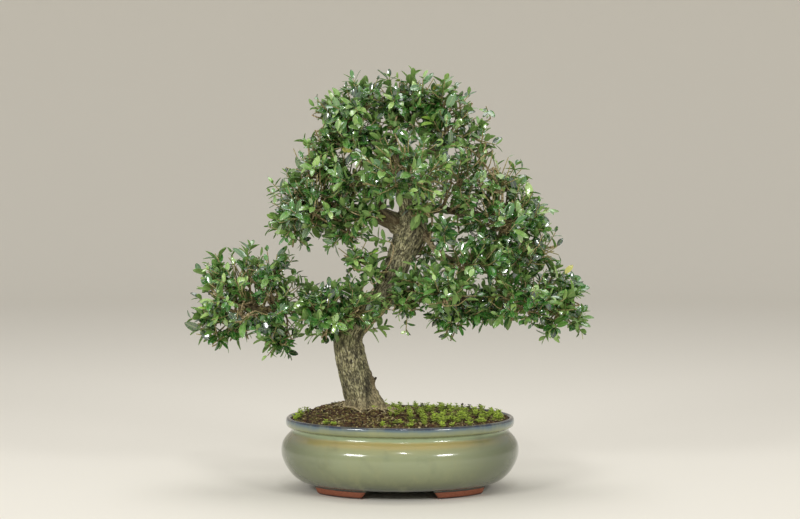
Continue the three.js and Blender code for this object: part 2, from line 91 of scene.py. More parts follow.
class Domain(Enum):
    """What a mesh attribute is kept on."""

    POINT = "POINT"
    FACE = "FACE"


def display(*channels: float) -> Colour:
    """A display colour, 0 to 255 a channel, in linear light: a short straight toe, then a power."""
    shares = (channel / 255 for channel in channels)
    return (*(s / 12.92 if s <= 0.04045 else ((s + 0.055) / 1.055) ** 2.4 for s in shares), 1.0)


# Shader building


@dataclass(frozen=True)
class Wire:
    """An output socket that takes part in sums: each operator adds one Math node."""

    bench: "Bench"
    socket: bpy.types.NodeSocket

    def maths(self, operation: str, first: "Value", second: "Value") -> "Wire":
        """Adds a Math node on two values."""
        return self.bench.node("ShaderNodeMath", {"operation": operation}, {0: first, 1: second})

    def __add__(self, other: "Value") -> "Wire":
        """Sum."""
        return self.maths("ADD", self, other)

    def __sub__(self, other: "Value") -> "Wire":
        """Difference."""
        return self.maths("SUBTRACT", self, other)

    def __rsub__(self, other: float) -> "Wire":
        """Difference from a number on the left."""
        return self.maths("SUBTRACT", other, self)

    def __mul__(self, other: "Value") -> "Wire":
        """Product."""
        return self.maths("MULTIPLY", self, other)

    __radd__ = __add__
    __rmul__ = __mul__

    def band(self, low: float, high: float) -> "Wire":
        """A share that rises smoothly from 0 at low to 1 at high."""
        settings = {"interpolation_type": "SMOOTHSTEP"}
        return self.bench.node("ShaderNodeMapRange", settings, {0: self, 1: low, 2: high, 3: 0.0, 4: 1.0})


Value = Union[float, Colour, Point, Wire]


class Bench:
    """Puts together the node tree of one material."""

    def __init__(self, name: str) -> None:
        """Starts an empty material of that name."""
        self.material = bpy.data.materials.new(name)
        self.material.use_nodes = True
        self.tree = self.material.node_tree
        self.tree.nodes.clear()

    def node(self, kind: str, settings: dict, sockets: dict, out: int | str = 0) -> Wire | None:
        """Adds one node: its settings first, then its sockets' values or links.

        Args:
            kind: the node's type.
            settings: the node's properties; stops fills a colour ramp.
            sockets: the input sockets' numbers or wires, by name or place.
            out: which output the wire starts from.

        Returns:
            The wire from that output, or None for a node without outputs.
        """
        made = self.tree.nodes.new(kind)
        for key, value in settings.items():
            if key == "stops":
                self.fill_ramp(made.color_ramp, value)
            else:
                setattr(made, key, value)
        for key, value in sockets.items():
            if isinstance(value, Wire):
                self.tree.links.new(value.socket, made.inputs[key])
            else:
                made.inputs[key].default_value = value
        return Wire(self, made.outputs[out]) if made.outputs else None

    @staticmethod
    def fill_ramp(ramp: bpy.types.ColorRamp, stops: Sequence[tuple[float, Colour]]) -> None:
        """Sets a ramp's stops: places from 0 to 1 with their colours, in rising order."""
        while len(ramp.elements) < len(stops):
            ramp.elements.new(1.0)
        for element, (place, colour) in zip(ramp.elements, stops):
            element.position = place
            element.color = colour

    def place(self) -> Wire:
        """Object coordinates, in metres."""
        return self.node("ShaderNodeTexCoord", {}, {}, "Object")

    def part(self, where: Wire, axis: str) -> Wire:
        """One axis of coordinates: X, Y or Z."""
        return self.node("ShaderNodeSeparateXYZ", {}, {0: where}, axis)

    def mark(self, name: str, out: str = "Fac") -> Wire:
        """A mesh attribute by name: Fac for a number, Vector for three."""
        return self.node("ShaderNodeAttribute", {"attribute_name": name}, {}, out)

    def stretched(self, where: Wire, scale: Point) -> Wire:
        """Coordinates scaled along each axis."""
        return self.node("ShaderNodeMapping", {}, {"Vector": where, "Scale": scale})

    def noise(self, where: Wire, scale: float, detail: float = 3.0, rough: float = 0.5) -> Wire:
        """Soft noise, about 0.3 to 0.7: scale in cells a metre, detail in octaves, rough a share."""
        sockets = {"Vector": where, "Scale": scale, "Detail": detail, "Roughness": rough}
        return self.node("ShaderNodeTexNoise", {}, sockets)

    def cells(self, where: Wire, scale: float) -> Wire:
        """Distance from the middle of the nearest cell, at a scale in cells a metre."""
        return self.node("ShaderNodeTexVoronoi", {}, {"Vector": where, "Scale": scale}, "Distance")

    def ramp(self, share: Wire, stops: Sequence[tuple[float, Colour]]) -> Wire:
        """Colour by a share from 0 to 1, straight between its stops."""
        return self.node("ShaderNodeValToRGB", {"stops": stops}, {"Fac": share}, "Color")

    def mix(self, share: Value, first: Value, second: Value) -> Wire:
        """Blends two colours: the first at a share of 0, the second at 1."""
        settings = {"data_type": "RGBA", "clamp_factor": True}
        return self.node("ShaderNodeMix", settings, {0: share, 6: first, 7: second}, 2)

    def bump(self, height: Wire, distance: float, strength: float = 1.0) -> Wire:
        """The normal of a relief: distance is the metres that a height of one stands for."""
        sockets = {"Height": height, "Distance": distance, "Strength": strength}
        return self.node("ShaderNodeBump", {}, sockets, "Normal")


class Finish:
    """A finish: its colours are fields, and each kind says what feeds its Principled shader."""

    name: str

    def sockets(self, bench: Bench) -> dict[str, Value]:
        """The shader's values and wires by socket."""
        raise NotImplementedError

    def material(self) -> Material:
        """The finish as a material with one Principled shader."""
        bench = Bench(self.name)
        shader = bench.node("ShaderNodeBsdfPrincipled", {}, self.sockets(bench), "BSDF")
        bench.node("ShaderNodeOutputMaterial", {}, {"Surface": shader})
        return bench.material


@dataclass(frozen=True)
class CeladonGlaze(Finish):
    """Grey-green glaze that breaks blue on the rim and ochre on the shoulder, on a red clay body.

    Pairs of heights say where a colour starts and where it is full, in millimetres.
    """

    name: str = "celadon_glaze"
    body: Colour = display(144, 152, 117)
    body_warm: Colour = display(152, 154, 110)
    # Partly painted shade: the glaze darkens towards the foot.
    low_body_and_shade: Colour = display(122, 128, 96)
    # Darker glaze near the foot, partly painted shade; also the painted shade at the ends and random dark
    # mottles.
    base: Colour = display(90, 98, 76)
    # Painted shadow along the foot of the glaze, over glaze pooled there.
    pooled_glaze_and_shadow: Colour = display(52, 60, 62)
    shoulder: Colour = display(172, 159, 102)
    neck: Colour = display(156, 173, 134)
    # Painted shade under the lip's overhang; also the colour of the dark specks.
    lip_shade_and_specks: Colour = display(92, 94, 60)
    lip: Colour = display(136, 143, 104)
    lip_blue: Colour = display(96, 116, 124)
    rim_blue: Colour = display(30, 40, 66)
    rim_top: Colour = display(96, 88, 84)
    clay: Colour = display(132, 72, 50)
    clay_light: Colour = display(170, 104, 76)
    glaze_line: Colour = display(50, 36, 34)
    ramp_height: float = 100.0
    blue_from: Pair = (81.5, 87.0)
    navy_from: Pair = (89.4, 90.5)
    top_from: Pair = (91.6, 92.2)
    # Painted shade at the ends of the oval: none above the first height, full below the second.
    end_shade_below: Pair = (81.0, 74.0)
    bare_below: Pair = (9.05, 8.55)
    line_below: Pair = (10.2, 9.3)
    dark_below: Pair = (3.5, 0.0)

    def heights(self) -> list[tuple[float, Colour]]:
        """The bands of glaze from the foot up: heights as shares of the ramp, with their colours."""
        # Below 42 mm the bands darken towards the foot, partly the glaze's own colour and partly painted
        # shade, down to a painted shadow at 11.5 mm.
        bands = [
            (11.5, self.pooled_glaze_and_shadow), (15.5, self.base), (26.0, self.low_body_and_shade), (42.0, self.body),
            (58.0, self.body), (65.0, self.body_warm), (68.5, self.shoulder), (73.0, self.shoulder),
            # The band at 80.2 mm is painted shade under the lip.
            (75.5, self.neck), (78.6, self.neck), (80.2, self.lip_shade_and_specks), (82.2, self.lip),
            (86.4, self.lip), (88.6, self.lip_blue),
        ]
        return [(height / self.ramp_height, colour) for height, colour in bands]

    def sockets(self, bench: Bench) -> dict[str, Value]:
        """The glaze's bands, each a little uneven, and bare clay on the feet.

        Steel blue washes over the lip, more of it towards the two ends of the oval, and a navy
        line runs under its brownish top. Painted shade darkens the belly towards its ends, lies
        under the lip, and in part darkens the bands near the foot.

        Args:
            bench: the material's bench.

        Returns:
            The shader's values and wires.
        """

        def past(where: Wire, band: Pair) -> Wire:
            """A share that rises between two heights."""
            return where.band(*(height * METRES for height in band))

        place = bench.place()
        length = bench.part(place, "X")
        length = length.maths("ABSOLUTE", length, 0.0)
        true_height = bench.part(place, "Z")
        wander = bench.noise(place, 22.0, 2.0)
        height = true_height + (wander - 0.5) * 0.0024 + (bench.noise(place, 150.0) - 0.5) * 0.0014
        colour = bench.ramp(height * (1 / (self.ramp_height * METRES)), self.heights())
        wash = length.band(0.04, 0.135) * 0.65 + wander.band(0.44, 0.62) * 0.3
        colour = bench.mix(wash * past(height, self.blue_from), colour, self.lip_blue)
        colour = bench.mix(past(height, self.navy_from) * 0.92, colour, self.rim_blue)
        colour = bench.mix(past(true_height, self.top_from) * 0.8, colour, self.rim_top)
        streaks = bench.noise(bench.stretched(place, (1.0, 1.0, 0.22)), 70.0, 4.0, 0.6)
        colour = bench.mix(streaks.band(0.42, 0.75) * 0.35, colour, self.body_warm)
        colour = bench.mix(bench.noise(place, 34.0).band(0.5, 0.8) * 0.30, colour, self.base)
        specks = bench.cells(place, 420.0).band(0.12, 0.04) * bench.noise(place, 55.0).band(0.48, 0.64)
        colour = bench.mix(specks * 0.6, colour, self.lip_shade_and_specks)
        # Painted shade: the belly darkens towards both ends of the oval, below the lip.
        ends = length.band(0.05, 0.16) * past(true_height, self.end_shade_below)
        colour = bench.mix(ends * 0.95, colour, self.base)
        low = true_height + (bench.noise(place, 60.0) - 0.5) * 0.0020
        bare = past(low, self.bare_below)
        clay_grain = bench.noise(place, 900.0, 4.0, 0.65)
        clay = bench.mix(clay_grain.band(0.35, 0.7), self.clay, self.clay_light)
        clay = bench.mix(past(low, self.dark_below), clay, self.glaze_line)
        colour = bench.mix(past(low, self.line_below), colour, self.glaze_line)
        peel = bench.noise(place, 260.0, 2.0) * (1 - bare) * 0.25 + clay_grain * bare
        return {
            "Base Color": bench.mix(bare, colour, clay),
            "Roughness": bare * 0.62 + (1 - bare) * (bench.noise(place, 90.0) * 0.10 + 0.12),
            "Coat Weight": (1 - bare) * 0.6,
            "Coat Roughness": 0.09,
            "IOR": 1.5,
            "Normal": bench.bump(peel, 0.00025, 0.6),
        }


@dataclass(frozen=True)
class BonsaiMix(Finish):
    """Dark damp granules, some of them olive, red-brown or pale, by the tone that each carries."""

    name: str = "bonsai_mix"
    dark: Colour = display(20, 14, 9)
    brown: Colour = display(98, 71, 45)
    olive: Colour = display(156, 146, 82)
    red: Colour = display(116, 80, 54)
    pale: Colour = display(206, 192, 142)

    def sockets(self, bench: Bench) -> dict[str, Value]:
        """The soil's shader values and wires."""
        stops = [
            (0.0, self.dark), (0.30, self.brown), (0.46, self.olive), (0.54, self.dark),
            (0.66, self.red), (0.74, self.brown), (0.86, self.olive), (0.95, self.pale),
        ]
        crumbs = bench.noise(bench.place(), 700.0, 5.0, 0.65)
        colour = bench.mix(crumbs.band(0.46, 0.66) * 0.6, bench.ramp(bench.mark("tone"), stops), self.dark)
        return {
            "Base Color": colour,
            "Roughness": crumbs * 0.25 + 0.72,
            "Normal": bench.bump(crumbs, 0.0009),
        }


@dataclass(frozen=True)
class Bark(Finish):
    """Olive-grey bark with dark fissures, pale flecks, warm bare wood on the buttress, and painted shade in
    its hollows.
    """

    name: str = "phillyrea_bark"
    base: Colour = display(104, 98, 71)
    light: Colour = display(190, 184, 141)
    fleck: Colour = display(230, 224, 188)
    dark: Colour = display(28, 23, 16)
    moss: Colour = display(98, 106, 58)
    warm: Colour = display(202, 184, 142)
    # Darker brown of thin limbs: their own bark, and in part painted shade of the canopy over them.
    limb: Colour = display(96, 76, 54)

    def sockets(self, bench: Bench) -> dict[str, Value]:
        """The bark, on coordinates that run along each limb so that its grain follows the wood.

        Args:
            bench: the material's bench.

        Returns:
            The shader's values and wires.
        """
        grain = bench.mark("grain", "Vector")
        drawn_out = bench.stretched(grain, (1.0, 1.0, 0.36))
        streaks = bench.noise(drawn_out, 600.0, 4.0, 0.6)
        plates = bench.noise(drawn_out, 210.0, 4.0, 0.6)
        flecks = bench.cells(drawn_out, 480.0)
        specks = bench.cells(bench.stretched(grain, (1.0, 1.0, 0.5)), 430.0)
        clouds = bench.noise(grain, 40.0)
        bare = bench.mark("bare") * (streaks.band(0.38, 0.56) * 0.75 + 0.15)
        colour = bench.mix(streaks.band(0.44, 0.56), self.base, self.light)
        colour = bench.mix(flecks.band(0.36, 0.16) * plates.band(0.42, 0.54) * 0.9, colour, self.fleck)
        colour = bench.mix(plates.band(0.48, 0.36) * 0.72, colour, self.dark)
        colour = bench.mix(clouds.band(0.48, 0.66) * 0.35, colour, self.moss)
        colour = bench.mix(bare, colour, self.warm)
        colour = bench.mix(specks.band(0.34, 0.14) * plates.band(0.64, 0.44) * 0.9, colour, self.dark)
        # Thin limbs darker: their own bark, in part painted shade of the canopy.
        colour = bench.mix(bench.mark("thin") * 0.7, colour, self.limb)
        # Painted shade in the fissures, hollows and groove, partly the darker bark of the fissures; the nub
        # is dark all over by this mark.
        colour = bench.mix(bench.mark("depth") * 0.85, colour, self.dark)
        relief = streaks * 0.8 + plates * 0.5 - specks.band(0.20, 0.08) * 0.4
        return {
            "Base Color": colour,
            "Roughness": streaks * 0.2 + 0.68,
            "Normal": bench.bump(relief, 0.0012),
        }


@dataclass(frozen=True)
class TwigBark(Finish):
    """Thin brown to beige twig bark, green on this year's shoots."""

    name: str = "twig_bark"
    brown: Colour = display(112, 92, 64)
    beige: Colour = display(206, 189, 144)
    green: Colour = display(146, 144, 78)

    def sockets(self, bench: Bench) -> dict[str, Value]:
        """The twigs' shader values and wires."""
        mottle = bench.noise(bench.place(), 520.0, 4.0, 0.6)
        colour = bench.mix(mottle.band(0.38, 0.64), self.brown, self.beige)
        return {
            "Base Color": bench.mix(bench.mark("age") * 0.8, colour, self.green),
            "Roughness": mottle * 0.3 + 0.5,
            "Normal": bench.bump(mottle, 0.0004),
        }


@dataclass(frozen=True)
class LeafSkin(Finish):
    """Leathery leaf: dark gloss above with a paler midrib, matt yellow-green below."""

    name: str = "leaf_skin"
    dark: Colour = display(8, 50, 22)
    middle: Colour = display(66, 132, 50)
    light: Colour = display(178, 214, 122)
    fresh: Colour = display(160, 204, 72)
    yellow: Colour = display(196, 186, 88)
    rib: Colour = display(176, 200, 118)
    under: Colour = display(134, 166, 92)

    def sockets(self, bench: Bench) -> dict[str, Value]:
        """The leaf, by its tone, its age, its underside and the place across it.

        Args:
            bench: the material's bench.

        Returns:
            The shader's values and wires.
        """
        place = bench.place()
        age = bench.mark("age")
        under = bench.mark("underside")
        midrib = bench.mark("across").band(0.16, 0.02)
        blotch = bench.noise(place, 260.0)
        shade = bench.mark("tone") + (blotch - 0.5) * 0.35
        colour = bench.ramp(shade, [(0.0, self.dark), (0.5, self.middle), (1.0, self.light)])
        colour = bench.mix(age.band(0.35, 0.9) * 0.9, colour, self.fresh)
        colour = bench.mix(age.band(1.4, 1.6) * 0.85, colour, self.yellow)
        colour = bench.mix(under * 0.7, colour, self.under)
        relief = bench.noise(place, 900.0, 2.0) * 0.35 - midrib * (1 - under)
        return {
            "Base Color": bench.mix(midrib * 0.4, colour, self.rib),
            "Roughness": under * 0.3 + blotch * 0.16 + 0.20,
            "Coat Weight": 1 - under,
            "Coat Roughness": 0.13,
            "Coat IOR": 2.1,
            "Subsurface Weight": 0.06,
            "Subsurface Radius": (0.4, 1.0, 0.2),
            "Subsurface Scale": 0.0012,
            "Normal": bench.bump(relief, 0.00025, 0.6),
        }


@dataclass(frozen=True)
class MossGreen(Finish):
    """Bright yellow-green moss and seedlings, by each plant's tone and the place along its leaf."""

    name: str = "moss_green"
    deep: Colour = display(58, 47, 26)
    bright: Colour = display(184, 214, 70)
    tip: Colour = display(228, 236, 124)

    def sockets(self, bench: Bench) -> dict[str, Value]:
        """The moss's shader values and wires."""
        tone = bench.mark("tone")
        mottle = bench.noise(bench.place(), 600.0, 2.0)
        colour = bench.mix(tone + (mottle - 0.5) * 0.35, self.deep, self.bright)
        return {
            "Base Color": bench.mix(bench.mark("along").band(0.4, 1.0) * tone * 0.5, colour, self.tip),
            "Roughness": mottle * 0.2 + 0.5,
            "Normal": bench.bump(mottle, 0.0002),
        }


@dataclass(frozen=True)
class ScreenPlastic(Finish):
    """Dark green moulded mesh, dulled by soil in patches."""

    name: str = "screen_mesh_plastic"
    green: Colour = display(34, 48, 40)
    dust: Colour = display(92, 78, 60)

    def sockets(self, bench: Bench) -> dict[str, Value]:
        """The screen's shader values and wires."""
        place = bench.place()
        dust = bench.noise(place, 300.0, 4.0, 0.6).band(0.45, 0.7)
        return {
            "Base Color": bench.mix(dust * 0.6, self.green, self.dust),
            "Roughness": dust * 0.35 + 0.45,
            "Normal": bench.bump(bench.noise(place, 1500.0), 0.0001),
        }


@dataclass(frozen=True)
class ClipWire(Finish):
    """Brown anodised wire, rougher where it is scuffed."""

    name: str = "anodised_clip_wire"
    brown: Colour = display(110, 84, 62)
    scuff: Colour = display(176, 160, 142)

    def sockets(self, bench: Bench) -> dict[str, Value]:
        """The wire's shader values and wires."""
        along = bench.stretched(bench.place(), (1.0, 4.0, 4.0))
        scuffs = bench.noise(along, 700.0, 4.0).band(0.52, 0.7)
        return {
            "Base Color": bench.mix(scuffs, self.brown, self.scuff),
            "Metallic": 1 - scuffs * 0.2,
            "Roughness": scuffs * 0.3 + 0.32,
            "Normal": bench.bump(scuffs, 0.00005),
        }


@dataclass(frozen=True)
class StudioPaper(Finish):
    """Pale matt seamless background."""

    name: str = "studio_paper"
    paper: Colour = display(236, 232, 222)

    def sockets(self, bench: Bench) -> dict[str, Value]:
        """The paper's shader values."""
        return {"Base Color": self.paper, "Roughness": 0.9, "Specular IOR Level": 0.1}


# Mesh building


def unit(vectors: Array) -> Array:
    """Rows scaled to length one."""
    return vectors / np.maximum(np.linalg.norm(vectors, axis=-1, keepdims=True), 1e-12)


def around(count: int) -> Array:
    """Even angles round a circle."""
    return np.linspace(0, 2 * np.pi, count, endpoint=False)


def copied(faces: Array, count: int, size: int) -> Array:
    """The faces of many alike bodies from those of one, each body having size points."""
    return (faces[None] + (np.arange(count) * size)[:, None, None]).reshape(-1, faces.shape[1])


@dataclass
class Shape:
    """A mesh in the making: points, faces of four and three corners, and marks on them."""

    points: Array
    quads: Array = field(default_factory=lambda: np.zeros((0, 4), int))
    triangles: Array = field(default_factory=lambda: np.zeros((0, 3), int))
    marks: dict[str, Array] = field(default_factory=dict)
    quad_marks: dict[str, Array] = field(default_factory=dict)
    triangle_marks: dict[str, Array] = field(default_factory=dict)

    def marked(self, **values: Union[float, Array]) -> "Shape":
        """Gives every point the named values.

        Args:
            values: one number for all points, or one row a point.

        Returns:
            The shape itself.
        """
        for name, value in values.items():
            rows = np.asarray(value, float)
            self.marks[name] = np.full(len(self.points), float(rows)) if rows.ndim == 0 else rows
        return self

    def finished(self, place: int) -> "Shape":
        """Gives every face the material at that place in the piece's list."""
        self.quad_marks["finish"] = np.full(len(self.quads), place)
        self.triangle_marks["finish"] = np.full(len(self.triangles), place)
        return self

    @staticmethod
    def joined(shapes: Sequence["Shape"]) -> "Shape":
        """Puts shapes into one; a mark that a shape lacks is zero there.

        Args:
            shapes: the shapes.

        Returns:
            One shape.
        """
        starts = np.cumsum([0] + [len(s.points) for s in shapes])

        def gather(pick: str, size: str) -> dict[str, Array]:
            """Joins one kind of marks over all shapes."""
            tails = {n: rows.shape[1:] for s in shapes for n, rows in getattr(s, pick).items()}
            return {
                name: np.concatenate([
                    getattr(s, pick).get(name, np.zeros((len(getattr(s, size)),) + tail)) for s in shapes
                ])
                for name, tail in tails.items()
            }

        return Shape(
            np.concatenate([s.points for s in shapes]),
            np.concatenate([s.quads + start for s, start in zip(shapes, starts)]),
            np.concatenate([s.triangles + start for s, start in zip(shapes, starts)]),
            gather("marks", "points"),
            gather("quad_marks", "quads"),
            gather("triangle_marks", "triangles"),
        )


def grid(points: Array) -> Shape:
    """A net of quads round rows of points, by three; its last column joins the first.

    It is wound so that row step times column step points out of its front.
    """
    rows, columns = points.shape[:2]
    index = np.arange(rows * columns).reshape(rows, columns)
    after = np.roll(index, -1, axis=1)
    quads = np.stack([index[:-1], after[:-1], after[1:], index[1:]], axis=-1).reshape(-1, 4)
    return Shape(points.reshape(-1, 3), quads)


def capped(rings: Array, poles: Array) -> Shape:
    """Closed bodies of rings, each with a fan of triangles to a pole at either end.

    Args:
        rings: bodies by rings by points by three.
        poles: bodies by two by three.

    Returns:
        The bodies.
    """
    count, rows, sides = rings.shape[:3]
    points = np.concatenate([rings.reshape(count, -1, 3), poles], axis=1)
    here = np.arange(sides)
    after, last, pole = np.roll(here, -1), (rows - 1) * sides, np.full(sides, rows * sides)
    fans = np.concatenate([
        np.stack([pole, after, here], axis=-1),
        np.stack([pole + 1, last + here, last + after], axis=-1),
    ])
    size = points.shape[1]
    quads = copied(grid(rings[0]).quads, count, size)
    return Shape(points.reshape(-1, 3), quads, copied(fans, count, size))


def smooth_line(stations: Array, shares: Array) -> Array:
    """A smooth line through rows of numbers.

    Between two rows it is the cubic whose slope at a row is half the step from the row before
    to the row after.

    Args:
        stations: rows of any width.
        shares: places from 0 to 1, the rows being evenly spaced.

    Returns:
        One row a share.
    """
    last = len(stations) - 1
    spot = shares * last
    low = np.clip(spot.astype(int), 0, last - 1)
    w = (spot - low)[:, None]
    row = np.concatenate([[2 * stations[0] - stations[1]], stations, [2 * stations[-1] - stations[-2]]])
    a, b, c, d = (row[low + k] for k in range(4))
    return 0.5 * (2 * b + (c - a) * w + (2 * a - 5 * b + 4 * c - d) * w**2 + (3 * b - a - 3 * c + d) * w**3)


def ring_frame(paths: Array) -> tuple[Array, Array, Array]:
    """The way along each line and two ways square to it.

    The first square way is across the world axis that the line runs least along.

    Args:
        paths: lines by stations by three.

    Returns:
        Along, side and other, each of the paths' shape.
    """
    along = unit(np.gradient(paths, axis=1))
    least = np.argmin(np.abs(paths[:, -1] - paths[:, 0]), axis=1)
    side = unit(np.cross(np.eye(3)[least][:, None, :], along))
    return along, side, np.cross(along, side)


def tubes(paths: Array, radii: Array, sides: int, swell: Array | None = None) -> Shape:
    """Round rods along many lines at once, closed by a pole at each end.

    A ring's point is the centre plus radius times (cos angle side + sin angle other).

    Args:
        paths: lines by stations by three.
        radii: lines by stations.
        sides: points in a ring.
        swell: factors on the radius, lines by stations by sides.

    Returns:
        The rods.
    """
    _, side, other = ring_frame(paths)
    angle = around(sides)[:, None]
    spokes = np.cos(angle) * side[:, :, None] + np.sin(angle) * other[:, :, None]
    reach = radii[:, :, None] * (np.ones(sides) if swell is None else swell)
    return capped(paths[:, :, None] + reach[..., None] * spokes, paths[:, [0, -1]])


def bent(starts: Array, turns: Array, ends: Array, steps: int) -> Array:
    """Lines from starts to ends that bend towards turns: (1-t)^2 start + 2t(1-t) turn + t^2 end."""
    t = np.linspace(0, 1, steps)[None, :, None]
    return (1 - t) ** 2 * starts[:, None] + 2 * t * (1 - t) * turns[:, None] + t**2 * ends[:, None]


class Grain:
    """Repeatable soft noise: hashed values at whole-number corners, eased between them."""

    values: int = 4096
    hashes: tuple[int, int, int] = (73856093, 19349663, 83492791)

    def __init__(self, seed: int) -> None:
        """Draws the table of corner values from a seed."""
        self.table = np.random.default_rng(seed).random(self.values)

    def at(self, points: Array) -> Array:
        """Noise from -1 to 1 at rows of points, one cell being one long."""
        low = np.floor(points).astype(np.int64)
        part = points - low
        ease = part * part * (3 - 2 * part)
        total = np.zeros(len(points))
        for corner in np.ndindex(2, 2, 2):
            x, y, z = ((low + np.array(corner)) * self.hashes).T
            weight = np.prod(np.where(corner, ease, 1 - ease), axis=1)
            total += weight * self.table[(x ^ y ^ z) & (self.values - 1)]
        return 2 * total - 1

    def layered(self, points: Array, octaves: int) -> Array:
        """Sum of octaves, each twice as fine and half as strong, and set apart from the others."""
        return sum(self.at(points * 2**k + 17.3 * k) / 2**k for k in range(octaves))

    def creases(self, points: Array) -> Array:
        """One in thin winding valleys and zero elsewhere: 1 - |noise| raised to a power."""
        return (1 - np.abs(self.at(points))) ** 6


@dataclass(frozen=True)
class Workshop:
    """Turns shapes, in millimetres from the pot's middle, into pieces in the row frame."""

    shift: Array

    @staticmethod
    def placed(name: str, data: bpy.types.ID) -> bpy.types.Object:
        """Puts a mesh, a light or a camera into the scene as an object."""
        made = bpy.data.objects.new(name, data)
        bpy.context.scene.collection.objects.link(made)
        return made

    def mesh(self, name: str, shape: Shape) -> bpy.types.Mesh:
        """Writes a shape into a Blender mesh.

        Args:
            name: the mesh's name.
            shape: the shape.

        Returns:
            The mesh, in metres.
        """
        mesh = bpy.data.meshes.new(name)
        mesh.vertices.add(len(shape.points))
        mesh.vertices.foreach_set("co", (shape.points * METRES + self.shift).astype(np.float32).ravel())
        corners = np.concatenate([shape.quads.ravel(), shape.triangles.ravel()]).astype(np.int32)
        sizes = np.repeat([4, 3], [len(shape.quads), len(shape.triangles)])
        mesh.loops.add(len(corners))
        mesh.loops.foreach_set("vertex_index", corners)
        mesh.polygons.add(len(sizes))
        mesh.polygons.foreach_set("loop_start", (np.cumsum(sizes) - sizes).astype(np.int32))
        mesh.polygons.foreach_set("use_smooth", np.ones(len(sizes), bool))
        mesh.update(calc_edges=True)
        for mark, values in shape.marks.items():
            self.attribute(mesh, mark, values, Domain.POINT)
        for mark, values in shape.quad_marks.items():
            rows = np.concatenate([values, shape.triangle_marks[mark]])
            if mark == "finish":
                mesh.polygons.foreach_set("material_index", rows.astype(np.int32))
            else:
                self.attribute(mesh, mark, rows, Domain.FACE)
        return mesh

    @staticmethod
    def attribute(mesh: bpy.types.Mesh, name: str, values: Array, domain: Domain) -> None:
        """Keeps one number or three for each point or face of a mesh."""
        kind, key = ("FLOAT", "value") if values.ndim == 1 else ("FLOAT_VECTOR", "vector")
        made = mesh.attributes.new(name, kind, domain.value)
        made.data.foreach_set(key, values.astype(np.float32).ravel())

    def piece(
        self, name: str, mesh: bpy.types.Mesh, finishes: Sequence[Material], node: str = ""
    ) -> None:
        """Makes a mesh a piece of the object.

        Args:
            name: the piece's name.
            mesh: its mesh, in the row frame.
            finishes: its materials.
            node: the CAD node that it stands for, if any.
        """
        made = self.placed(name, mesh)
        for finish in finishes:
            mesh.materials.append(finish)
        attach(made, "root")
        if node:
            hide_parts(node)
        log.info("%s: %d triangles", name, sum(len(face.vertices) - 2 for face in mesh.polygons))


# The pot


